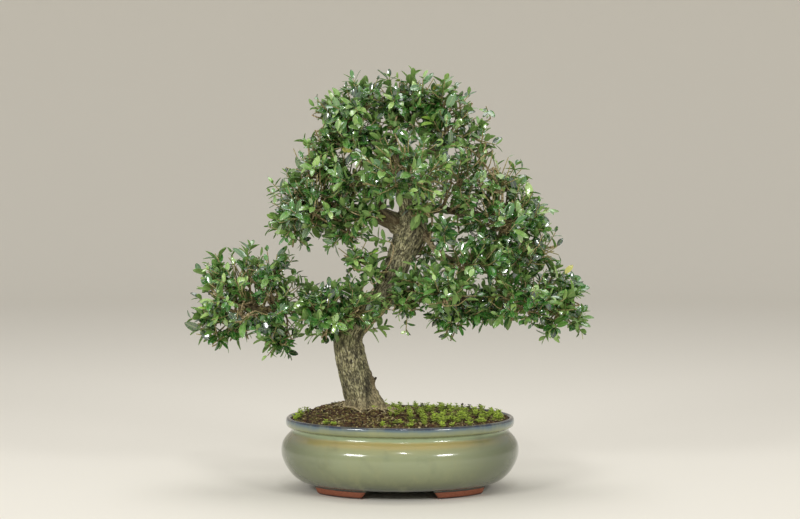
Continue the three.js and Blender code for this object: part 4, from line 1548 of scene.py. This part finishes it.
@dataclass(frozen=True)
class Canopy:
    """All the foliage: leafy shoots over each limb's clumps, carried by fine twigs from the limb."""

    wood: Wood
    blade: LeafBlade = LeafBlade()
    clumps: dict[str, tuple[Clump, ...]] = field(default_factory=lambda: {
        "left_low": (
            Clump((-184, -5, 236), (62, 66, 42), 104, gaps=0.04),
            Clump((-202, -5, 271), (36, 40, 26), 26, gaps=0.14),
            Clump((-162, -10, 279), (23, 30, 15), 16, gaps=0.3),
            Clump((-152, -14, 193), (16, 26, 14), 14, 1.0),
            Clump((-203, -8, 206), (12, 24, 9), 5, 1.0),
            Clump((-230, -4, 203), (24, 26, 12), 12, 1.0, 0.1),
            Clump((-244, -5, 217), (9, 24, 12), 7, 1.0, 0.06),
            Clump((-234, -5, 272), (10, 26, 18), 8, 1.0, 0.06),
        ),
        "left_inner": (
            Clump((-92, -60, 230), (28, 26, 24), 28),
            Clump((-100, -20, 234), (28, 34, 20), 22),
            Clump((-92, -40, 208), (16, 20, 9), 6, 1.0),
            Clump((-58, -52, 234), (26, 16, 26), 20),
        ),
        "right_low": (
            Clump((156, 0, 242), (60, 70, 36), 96),
            Clump((78, 0, 228), (36, 48, 20), 33),
            Clump((208, -2, 236), (14, 28, 20), 12, 1.0),
            Clump((190, -8, 210), (6, 20, 6), 4, 2.2, 0.6),
            Clump((224, -4, 216), (4, 10, 6), 3, 2.2, 0.9),
            Clump((217, -4, 258), (2, 2, 2), 1, 1.0, 0.9),
            Clump((62, -10, 214), (15, 20, 6), 5, 2.2, 0.7),
        ),
        "right_inner": (
            Clump((56, -72, 255), (28, 28, 22), 26),
            Clump((22, -40, 263), (18, 12, 16), 12),
            Clump((-20, -40, 235), (8, 8, 6), 3, 1.0),
            Clump((9, -38, 241), (15, 8, 8), 8, 1.0, 0.6),
            Clump((-32, -36, 207), (3, 3, 2), 1, 1.0, 0.6),
            Clump((8, -34, 220), (2, 2, 6), 1, 2.8, 0.9),
        ),
        "right_mid": (
            Clump((92, -30, 292), (36, 34, 20), 32),
            Clump((150, -12, 300), (38, 44, 26), 36),
            Clump((182, -8, 306), (10, 30, 18), 9),
        ),
        "left_up": (
            Clump((-108, -8, 362), (46, 62, 44), 84, gaps=0.16),
            Clump((-105, -10, 409), (29, 36, 20), 24, gaps=0.16),
            Clump((-108, -6, 433), (8, 14, 8), 4, 1.0),
            Clump((-62, -20, 398), (42, 44, 32), 34, gaps=0.2),
            Clump((-134, -14, 333), (20, 32, 9), 12, 1.0),
            Clump((-68, -20, 327), (18, 16, 9), 10, 1.0),
            Clump((-127, -14, 317), (2, 2, 2), 1, 2.8, 0.9),
            Clump((-79, -18, 317), (2, 2, 2), 1, 2.8, 0.9),
            Clump((-46, -34, 352), (16, 12, 14), 8, 1.0, 0.5),
        ),
        "right_up": (
            Clump((128, 3, 344), (46, 66, 42), 84, gaps=0.16),
            Clump((171, 0, 349), (9, 28, 12), 7),
            Clump((124, 0, 393), (26, 44, 18), 22, gaps=0.12),
            Clump((80, -10, 398), (44, 50, 32), 34, gaps=0.12),
            Clump((102, -6, 443), (8, 18, 8), 6, 1.0),
            Clump((28, -38, 359), (16, 16, 14), 8),
            Clump((55, -24, 329), (10, 12, 7), 6, 1.0),
            Clump((80, -30, 370), (14, 10, 10), 7, 1.0, 0.6),
        ),
        "back_low": (Clump((22, 94, 298), (36, 16, 22), 16),),
        "back_up": (Clump((0, 94, 388), (56, 24, 36), 38),),
        "front_up": (Clump((4, -72, 402), (50, 28, 40), 48, gaps=0.2),),
        "crown_left": (
            Clump((-56, -2, 446), (34, 44, 28), 42, gaps=0.14),
            Clump((-56, -4, 480), (27, 36, 22), 26, gaps=0.2),
            Clump((-92, -6, 450), (10, 22, 24), 12, 1.0, 0.1),
            Clump((-90, -4, 483), (10, 20, 10), 7, 1.0, 0.1),
            Clump((-42, -2, 503), (16, 20, 8), 8, gaps=0.3),
        ),
        "crown_right": (
            Clump((58, 0, 450), (36, 44, 30), 44, gaps=0.14),
            Clump((54, -2, 491), (21, 28, 15), 15, gaps=0.2),
            Clump((30, -2, 501), (20, 22, 12), 10, gaps=0.4),
            Clump((74, -4, 484), (8, 18, 8), 5, gaps=0.3),
            Clump((110, -4, 481), (1, 1, 2), 1, 1.0, 0.3),
        ),
        "leader": (
            Clump((0, -2, 492), (36, 32, 20), 32, gaps=0.2),
            Clump((12, -2, 510), (6, 6, 6), 3, gaps=0.6),
            Clump((-8, -12, 464), (10, 10, 12), 8, 1.0),
            Clump((18, -14, 462), (8, 6, 8), 4, 1.0, 0.6),
        ),
        "sprig": (
            Clump((-55, -15, 296), (14, 8, 13), 9, 1.0),
            Clump((-37, -15, 281), (6, 4, 8), 5, 1.0, 0.6),
            Clump((-24, -20, 319), (2, 2, 4), 1, 1.0, 0.9),
        ),
    })
    gap_size: Point = (11.0, 58.0, 11.0)
    bare_share: float = 0.07
    lost_share: float = 0.05
    yellow_share: float = 0.003
    yellow_age: float = 1.7
    tones: Pair = (0.40, 0.35)
    ages: Pair = (0.1, 0.38)
    half_widths: Pair = (0.19, 0.25)
    folds: Pair = (0.12, 0.5)
    arches: Pair = (-0.02, 0.2)
    waves: Pair = (0.0, 0.35)
    thin: Grain = field(default_factory=lambda: Grain(29))
    lift: float = 0.35
    past_shell: float = 12.0
    lengths: Pair = (26.0, 42.0)
    stem_radii: Pair = (0.85, 0.55)
    stem_age: float = 0.55
    twig_radii: Pair = (1.2, 0.8)
    fork_radii: Pair = (1.8, 1.25)
    main_radii: Pair = (2.6, 1.3)
    pairs: tuple[float, ...] = (0.12, 0.3, 0.48, 0.66, 0.82, 0.98)
    leans: tuple[float, ...] = (68.0, 66.0, 62.0, 58.0, 52.0, 40.0)
    leaf_sizes: tuple[float, ...] = (17.0, 20.0, 21.5, 20.5, 18.0, 13.0)
    shoot_sizes: Pair = (0.54, 1.06)
    fork_every: int = 4
    fork_place: float = 0.4
    foot_depth: float = 27.0
    seed: int = 77

    def draw(self, *key: float) -> Random:
        """A random draw of its own for one clump or spray, which others don't disturb."""
        return np.random.default_rng([self.seed, *(int(part) + 1000 for part in key)])

    def outward(self, shell: Array, stray: Union[float, Array] = 0.0) -> Array:
        """The way of a shoot that stands on a shell: out and somewhat up, with its stray."""
        return unit(shell * [1, 1, 0.9] + [0, 0, self.lift] + stray)

    def shoots(self, clump: Clump, random: Random) -> tuple[Array, Array]:
        """Tips and ways of a clump's shoots, evenly round its shell and some of them inside it.

        Args:
            clump: the clump.
            random: the random draw.

        Returns:
            Tips and ways, one row a shoot.
        """
        spot = np.arange(clump.shoots) + 0.5
        height = 1 - (1 + clump.under) * spot / clump.shoots
        turn = spot * GOLDEN_ANGLE + clump.middle[0]
        girth = np.sqrt(np.clip(1 - height**2, 0, 1))
        shell = np.stack([np.cos(turn) * girth, np.sin(turn) * girth, height], axis=-1)
        shell = unit(shell + random.normal(0, 0.13, shell.shape))
        depth = 1 - 0.42 * random.random(clump.shoots)[:, None] ** 2
        out = self.outward(shell, random.normal(0, 0.2, shell.shape))
        return np.array(clump.middle) + shell * clump.reach * depth + self.past_shell * out, out

    def leaves(
        self, lines: Array, fresh: Array, scale: Array, gaps: Array, random: Random
    ) -> Shape:
        """Opposite leaves on shoots: each pair stands crosswise to the one before.

        Leaves are missing in small winding spaces, where the soft noise is low.

        Args:
            lines: the shoots, as lines by stations by three.
            fresh: how new each shoot is, from 0 to 1.
            scale: size of each shoot's leaves.
            gaps: how low the noise must be for a space, for each shoot.
            random: the random draw.

        Returns:
            The leaves.
        """
        count, stations = lines.shape[:2]
        along, side, other = ring_frame(lines)
        spin = random.random(count) * 2 * np.pi
        rows = []
        for number, (share, lean, size) in enumerate(zip(self.pairs, self.leans, self.leaf_sizes)):
            station = round(share * (stations - 1))
            way = along[:, station]
            for half in (0, 1):
                turn = (spin + (number / 2 + half) * np.pi + random.normal(0, 0.25, count))[:, None]
                tilt = np.radians(lean + random.normal(0, 9, count))[:, None]
                out = np.cos(turn) * side[:, station] + np.sin(turn) * other[:, station]
                axis = unit(np.cos(tilt) * way + np.sin(tilt) * out)
                up = way + 0.75 * UPRIGHT + random.normal(0, 0.22, (count, 3))
                length = size * scale * (1 + random.normal(0, 0.14, count))
                age = fresh * (0.35 + 0.65 * share) * random.uniform(0.6, 1.0, count)
                rows.append((lines[:, station], axis, up, length, age))
        foot, axis, up, length, age = (np.concatenate(part) for part in zip(*rows))
        total, a_shoot = len(foot), 2 * len(self.pairs)
        middle = foot + 0.5 * length[:, None] * axis
        space = self.thin.at(middle / self.gap_size) < -np.tile(gaps, a_shoot)
        bare = np.tile(random.random(count) < self.bare_share, a_shoot)
        keep = (random.random(total) > self.lost_share) & ~space & ~bare
        tone = np.clip(random.normal(*self.tones, total), 0, 1)
        age = np.where(random.random(total) < self.yellow_share, self.yellow_age, age)
        half = length * random.uniform(*self.half_widths, total)
        curl = [random.uniform(*ends, total) for ends in (self.folds, self.arches, self.waves)]
        kept = [row[keep] for row in (foot, axis, up, length, half, *curl)]
        return self.blade.shape(*kept, tone=tone[keep], age=age[keep]).finished(0)

    def twigs(self, bases: Array, ways: Array, carriers: Array, random: Random) -> Shape:
        """Twigs that fork: one from the nearest carrier for every few shoots, then one to each shoot.

        Args:
            bases: the shoots' bases.
            ways: the shoots' ways.
            carriers: points on limbs and main twigs.
            random: the random draw.

        Returns:
            The twigs.
        """

        def nearest(points: Array, others: Array) -> Array:
            """The other point that is nearest to each point."""
            return others[np.argmin(np.linalg.norm(points[:, None] - others[None], axis=-1), axis=1)]

        leaders = bases[:: self.fork_every]
        feet = nearest(leaders, carriers)
        forks = leaders + self.fork_place * (feet - leaders)
        starts = nearest(bases, forks)
        span = np.linalg.norm(bases - starts, axis=1, keepdims=True)
        turns = bases - ways * span * 0.35 + random.normal(0, 0.08, bases.shape) * span
        radii = np.linspace(*self.twig_radii, 5)[None] * random.uniform(0.85, 1.15, (len(bases), 1))
        stride = np.linalg.norm(forks - feet, axis=1, keepdims=True)
        bows = (feet + forks) / 2 + random.normal(0, 0.14, forks.shape) * stride
        stout = np.linspace(*self.fork_radii, 5)[None] * random.uniform(0.9, 1.1, (len(forks), 1))
        made = [tubes(bent(starts, turns, bases, 5), radii, 5), tubes(bent(feet, bows, forks, 5), stout, 6)]
        return self.barked(Shape.joined(made))

    @staticmethod
    def barked(shape: Shape, age: float = 0.0) -> Shape:
        """Gives stems and twigs their bark: grey-brown at an age of 0, green at 1."""
        return shape.marked(age=age, tone=0.5).finished(1)

    def main_twig(self, limb: str, middle: Array, out: Array) -> Array:
        """The line from a limb's nearest part to the foot of a spray.

        Args:
            limb: the limb's name.
            middle: the spray's middle.
            out: the way that its shoot points.

        Returns:
            The line's stations.
        """
        rows = self.wood.line(self.wood.limbs[limb], 21, 0.3)[:, :3]
        foot = middle - self.foot_depth * out
        reach = np.linalg.norm(rows - foot, axis=1) - 12 * np.linspace(0.3, 1, 21)
        start = rows[np.argmin(reach)]
        near = foot - 10 * out
        half = start + 0.55 * (near - start) + 5 * UPRIGHT
        return smooth_line(np.stack([start, half, near, foot]), np.linspace(0, 1, 14))

    def limb_foliage(
        self, shop: Workshop, limb: str, names: Sequence[str], finishes: Sequence[Material]
    ) -> int:
        """Makes the foliage of one limb: each shoot goes to the spray that is nearest to its tip.

        Args:
            shop: the workshop.
            limb: the limb's name.
            names: the node names of all sprays.
            finishes: the leaves' material and the twigs'.

        Returns:
            How many leaves it has.
        """
        group = self.clumps[limb]
        parts = [self.shoots(clump, self.draw(*clump.middle)) for clump in group]
        tips, ways = (np.concatenate(part) for part in zip(*parts))
        gaps = np.repeat([clump.gaps for clump in group], [clump.shoots for clump in group])
        own = sorted(n for n in names if n == f"spray_{limb}" or n[: n.rfind("_")] == f"spray_{limb}")
        boxes = [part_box(name) for name in own]
        spots = np.stack([(np.array((low + high) / 2) - shop.shift) / METRES for low, high in boxes])
        away = np.linalg.norm(tips[:, None] - spots[None], axis=-1)
        limb_rows = self.wood.line(self.wood.limbs[limb], 24, 0.25)[:, :3]
        leaf_points = 0
        for place, name in enumerate(own):
            random = self.draw(names.index(name))
            shell = unit((spots[place] - group[0].middle) / np.array(group[0].reach))
            main = self.main_twig(limb, spots[place], self.outward(shell))
            mine = np.argmin(away, axis=1) == place
            if not mine.any():
                mine = np.arange(len(tips)) == np.argmin(away[:, place])
            count, tip, way = mine.sum(), tips[mine], ways[mine]
            length = random.uniform(*self.lengths, count)[:, None]
            bases = tip - way * length
            turns = tip - way * length * 0.45 + random.normal(0, 2.2, bases.shape) - [0, 0, 2.5]
            lines = bent(bases, turns, tip, 9)
            fresh = np.clip(random.normal(*self.ages, count), 0, 1)
            scale = random.uniform(*self.shoot_sizes, count)
            leaves = self.leaves(lines, fresh, scale, gaps[mine], random)
            stems = tubes(lines[:, ::4], np.linspace(*self.stem_radii, 3)[None] + 0 * length, 4)
            mesh = shop.mesh(name.replace("spray", "foliage"), Shape.joined([
                leaves,
                self.barked(stems, self.stem_age),
                self.twigs(bases, way, np.concatenate([limb_rows, main[5:]]), random),
                self.barked(tubes(main[None], np.linspace(*self.main_radii, len(main))[None], 8)),
            ]))
            self.sharpen(mesh)
            shop.piece(mesh.name, mesh, finishes, name)
            leaf_points += len(leaves.points)
        return leaf_points // self.blade.size()

    @staticmethod
    def sharpen(mesh: bpy.types.Mesh) -> None:
        """Marks the leaf margins sharp, so that the two faces of a blade shade apart.

        Args:
            mesh: a piece of foliage.
        """
        across = np.zeros(len(mesh.vertices), np.float32)
        mesh.attributes["across"].data.foreach_get("value", across)
        ends = np.zeros(2 * len(mesh.edges), np.int32)
        mesh.edges.foreach_get("vertices", ends)
        sharp = (across[ends.reshape(-1, 2)] > 0.5).all(axis=1)
        made = mesh.attributes.new("sharp_edge", "BOOLEAN", "EDGE")
        made.data.foreach_set("value", sharp)

    def build(self, shop: Workshop, names: Sequence[str]) -> None:
        """Makes one piece of foliage in place of each CAD spray.

        Args:
            shop: the workshop.
            names: the node names of the sprays.
        """
        finishes = [LeafSkin().material(), TwigBark().material()]
        leaves = sum(self.limb_foliage(shop, limb, names, finishes) for limb in self.clumps)
        log.info("leaves: %d", leaves)


# Moss and seedlings


Patch = tuple[float, float, float, float]


@dataclass(frozen=True)
class MossCarpet:
    """Moss tufts and small leafy weeds, thick on the right half and sparse elsewhere.

    A patch is its place along X and Y, its spread and its weight.
    """

    soil: SoilBed
    tufts: int = 1150
    tuft_blades: int = 5
    tuft_sizes: Pair = (1.4, 3.2)
    spacing: float = 10.6
    plant_stems: int = 3
    plant_spread: float = 1.3
    weed_blades: int = 4
    weed_leaves: Pair = (2.4, 5.4)
    weed_heights: Pair = (2.0, 8.0)
    weed_levels: Pair = (0.6, 1.0)
    belly: float = 0.58
    thick: float = 0.24
    stem_radius: float = 0.4
    dry_tones: Pair = (0.12, 0.24)
    fresh_tones: Pair = (0.92, 0.34)
    tries: int = 30
    chance: float = 1.6
    clump_size: float = 9.0
    seed: int = 8
    patches: tuple[Patch, ...] = (
        (60, -26, 34, 0.9), (96, 5, 26, 0.9), (30, -50, 20, 0.8), (50, 36, 30, 0.9), (108, -24, 20, 0.9),
        (30, 10, 18, 0.6), (66, 78, 30, 1.0), (106, 44, 22, 1.0), (30, 88, 14, 0.8), (60, -84, 14, 0.6),
        (-130, -12, 7, 2.0), (-126, 14, 5, 0.8), (124, 4, 13, 1.1), (122, -20, 10, 1.0),
        (-12, -86, 7, 1.2), (8, -88, 6, 1.2), (-86, -69, 7, 2.0),
    )
    dull_patches: tuple[Patch, ...] = (
        (-84, 10, 26, 0.75), (-60, 34, 26, 0.7), (-96, -34, 18, 0.6), (-24, -46, 20, 0.45),
    )

    @staticmethod
    def thickness(x: Array, y: Array, patches: Sequence[Patch]) -> Array:
        """How likely moss is at a place: the largest of the patches' bell curves."""
        rows = np.array(patches, float)[:, :, None]
        px, py, spread, weight = rows.swapaxes(0, 1)
        return np.max(weight * np.exp(-((x - px) ** 2 + (y - py) ** 2) / (2 * spread**2)), axis=0)

    def plants(self, random: Random) -> Array:
        """Feet of the stems of small leafy plants, which stand apart with dark soil between them.

        The plants stand on an uneven square grid, each kept where a random number is below the
        moss's thickness, and a plant has a few stems close together.

        Args:
            random: the random draw.

        Returns:
            Points on the soil's surface, the stems of a plant in a row.
        """
        soil = self.soil
        steps = np.arange(-soil.edge, soil.edge, self.spacing)
        x, y = (part.ravel() for part in np.meshgrid(steps, steps))
        x, y = (part + random.normal(0, 0.26 * self.spacing, part.shape) for part in (x, y))
        inside = np.hypot(x / soil.edge, y / (soil.edge - soil.pot.oval_step)) < soil.inside
        keep = inside & (random.random(len(x)) * 1.05 < self.thickness(x, y, self.patches))
        x, y = (np.repeat(part[keep], self.plant_stems) for part in (x, y))
        x, y = (part + random.normal(0, self.plant_spread, part.shape) for part in (x, y))
        return np.stack([x, y, soil.height(x, y) - 0.5], axis=-1)

    def places(self, random: Random) -> Array:
        """Draws places for the tufts: the best of many, by the patches, soft noise and chance.

        Args:
            random: the random draw.

        Returns:
            Points on the soil's surface.
        """
        soil = self.soil
        x, y = soil.spots(self.tries * self.tufts, soil.inside, random)
        thick = self.thickness(x, y, self.patches + self.dull_patches)
        grown = thick * (0.55 + 0.9 * soil.noise.at(np.stack([x, y, 0 * x], axis=-1) / self.clump_size))
        near = np.argsort(self.chance * random.random(len(x)) - grown)[: self.tufts]
        x, y = x[near], y[near]
        return np.stack([x, y, soil.height(x, y)], axis=-1)

    def rosettes(
        self, places: Array, blades: int, size: Pair, rise: float, tone: Array, random: Random
    ) -> Shape:
        """Small blades round each place, four-sided and drawn out to a point at both ends.

        Args:
            places: the rosettes' feet.
            blades: blades in a rosette.
            size: least and greatest blade length.
            rise: slope of the blades.
            tone: each rosette's tone.
            random: the random draw.

        Returns:
            The rosettes.
        """
        count = len(places)
        turn = (np.arange(blades)[None] / blades + random.random((count, 1))) * 2 * np.pi
        turn = turn + random.normal(0, 0.25, turn.shape)
        slope = rise * random.uniform(0.4, 1.6, turn.shape)
        axis = unit(np.stack([np.cos(turn), np.sin(turn), slope], axis=-1).reshape(-1, 3))
        length = (random.uniform(*size, (count, 1)) * random.uniform(0.7, 1.2, turn.shape)).reshape(-1, 1)
        foot = np.repeat(places, blades, axis=0)
        side = unit(np.cross(UPRIGHT[None], axis))
        up = np.cross(axis, side) * self.thick
        wide = side * length * 0.3
        middle = foot + self.belly * length * axis
        ring = [middle + r for r in (wide, up, -wide, -up)]
        points = np.stack([foot, foot + length * axis, *ring], axis=1)
        pairs = [(2, 3), (3, 4), (4, 5), (5, 2)]
        faces = np.array([(0, b, a) for a, b in pairs] + [(1, a, b) for a, b in pairs])
        shape = Shape(points.reshape(-1, 3), triangles=copied(faces, len(foot), 6))
        along = np.tile([0.0, 1.0] + [self.belly] * 4, len(foot))
        return shape.marked(tone=np.repeat(tone, 6 * blades), along=along)

    def build(self, shop: Workshop) -> None:
        """Makes the moss, which has no CAD node.

        Args:
            shop: the workshop.
        """
        random = np.random.default_rng(self.seed)
        low = self.places(random) - [0, 0, 0.3]
        dry = np.clip(random.normal(*self.dry_tones, len(low)), 0, 1)
        shapes = [self.rosettes(low, self.tuft_blades, self.tuft_sizes, 1.3, dry, random)]
        feet = self.plants(random)
        count = len(feet)
        tall = random.uniform(*self.weed_heights, count)
        lean = np.concatenate([random.normal(0, 0.18, (count, 2)), np.ones((count, 1))], axis=1)
        tips = feet + lean * tall[:, None]
        plants = count // self.plant_stems
        fresh = np.repeat(random.normal(*self.fresh_tones, plants), self.plant_stems)
        tone = np.clip(fresh + random.normal(0, 0.1, count), 0, 1)
        for level in self.weed_levels:
            at = feet + level * (tips - feet)
            shapes.append(self.rosettes(at, self.weed_blades, self.weed_leaves, 0.5, tone, random))
        lines = bent(feet, (feet + tips) / 2 + [0.4, 0, 0], tips, 3)
        shapes.append(tubes(lines, np.full((count, 3), self.stem_radius), 4).marked(tone=0.4, along=0.2))
        mesh = shop.mesh("moss_carpet", Shape.joined(shapes))
        shop.piece("moss_carpet", mesh, [MossGreen().material()])


# Drainage fittings


@dataclass(frozen=True)
class Drainage:
    """The screens and clips, whose CAD shape is right and gets its finish here."""

    screens: tuple[str, ...] = ("screen_1", "screen_2")
    clips: tuple[str, ...] = ("clip_1", "clip_2")

    def dress(self, nodes: dict[str, bpy.types.Object]) -> None:
        """Gives each fitting its material.

        Args:
            nodes: the CAD nodes by name.
        """
        kinds = ((self.screens, ScreenPlastic(), Slot.SCREEN), (self.clips, ClipWire(), Slot.CLIP))
        for names, finish, slot in kinds:
            material = finish.material()
            for name in names:
                nodes[name].data.materials.clear()
                nodes[name].data.materials.append(material)
                log.info("%s: dressed", name)


# The studio


@dataclass(frozen=True)
class SoftBox:
    """A rectangular studio light: its place and target in metres, and its power in watts."""

    name: str
    place: Point
    size: Pair
    power: float
    target: Point = (0, 0, 0.25)

    def hang(self, shop: Workshop) -> None:
        """Hangs the light, turned towards its target and out of the camera's sight.

        Args:
            shop: the workshop.
        """
        data = bpy.data.lights.new(self.name, "AREA")
        data.shape = "RECTANGLE"
        data.size, data.size_y = self.size
        data.energy = self.power
        lamp = shop.placed(self.name, data)
        lamp.visible_camera = False
        lamp.location = self.place
        x, y, z = (b - a for a, b in zip(self.place, self.target))
        lamp.rotation_euler = (math.atan2(math.hypot(x, y), -z), 0, math.atan2(y, x) - math.pi / 2)


@dataclass(frozen=True)
class Studio:
    """A pale seamless bowl of paper, soft lights, and the camera at the photo's angle, in metres."""

    floor_radius: float = 3.6
    wall_radius: float = 5.4
    wall_height: float = 2.0
    camera_distance: float = 2.255
    camera_height: float = 0.393
    camera_pitch: float = 2.58
    lens: float = 80.3
    sensor: float = 36.0
    sky: float = 0.55
    sky_colour: Colour = (1.0, 0.98, 0.95, 1.0)
    boxes: tuple[SoftBox, ...] = (
        SoftBox("key_left", (-1.57, -2.0, 1.32), (0.72, 0.42), 23.0),
        SoftBox("key_right", (1.54, -1.95, 1.32), (0.62, 0.4), 17.0),
        SoftBox("top", (0.0, 0.2, 2.4), (1.5, 1.3), 15.0, (0, 0, 0.2)),
        SoftBox("fill_front", (0.12, -2.0, 2.2), (0.22, 0.16), 5.0),
    )

    def bowl(self, shop: Workshop) -> bpy.types.Object:
        """The background: a flat disc that curves up into a round wall.

        Args:
            shop: the workshop.

        Returns:
            The background object.
        """
        turn = np.linspace(0, np.pi / 2, 24)[1:]
        curve = self.wall_radius - self.floor_radius
        radius = np.concatenate([
            [0.001, self.floor_radius], self.floor_radius + curve * np.sin(turn), [self.wall_radius],
        ])[:, None]
        height = np.concatenate([[0, 0], curve * (1 - np.cos(turn)), [self.wall_height]])[:, None]
        angle = around(96)
        net = grid(np.stack([radius * np.cos(angle), radius * np.sin(angle), height + 0 * angle], axis=-1))
        mesh = bpy.data.meshes.new("studio_bowl")
        mesh.from_pydata(net.points.tolist(), [], net.quads.tolist())
        mesh.polygons.foreach_set("use_smooth", np.ones(len(mesh.polygons), bool))
        mesh.materials.append(StudioPaper().material())
        return shop.placed("studio_bowl", mesh)

    def build(self, shop: Workshop) -> None:
        """Makes the stage round the object, and sets the camera where the photo was taken from.

        Args:
            shop: the workshop.
        """
        self.bowl(shop)
        for box in self.boxes:
            box.hang(shop)
        data = bpy.data.cameras.new("photo_camera")
        data.lens = self.lens
        data.sensor_width = self.sensor
        camera = shop.placed("photo_camera", data)
        camera.location = (shop.shift[0], shop.shift[1] - self.camera_distance, self.camera_height)
        camera.rotation_euler = (math.radians(90 - self.camera_pitch), 0, 0)
        scene = bpy.context.scene
        scene.camera = camera
        scene.world = bpy.data.worlds.new("studio_sky")
        scene.world.use_nodes = True
        sky = scene.world.node_tree.nodes["Background"]
        sky.inputs["Color"].default_value = self.sky_colour
        sky.inputs["Strength"].default_value = self.sky
        scene.view_settings.view_transform = "Standard"


def corners(box: tuple) -> list[list[float]]:
    """A box as plain lists."""
    return [list(map(float, corner)) for corner in box]


def main() -> None:
    """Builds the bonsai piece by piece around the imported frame."""
    logging.basicConfig(level=logging.INFO, format="%(name)s: %(message)s")
    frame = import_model()
    low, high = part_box("pot")
    shop = Workshop(np.array([(low.x + high.x) / 2, (low.y + high.y) / 2, low.z]))
    Studio().build(shop)
    pot = OvalPot()
    pot.build(shop)
    soil = SoilBed(pot)
    soil.build(shop)
    wood = Wood()
    wood.build(shop, soil)
    Canopy(wood).build(shop, [name for name in frame["nodes"] if name.startswith("spray_")])
    MossCarpet(soil).build(shop)
    Drainage().dress(frame["nodes"])
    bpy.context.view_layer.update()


if __name__ == "__main__":
    main()
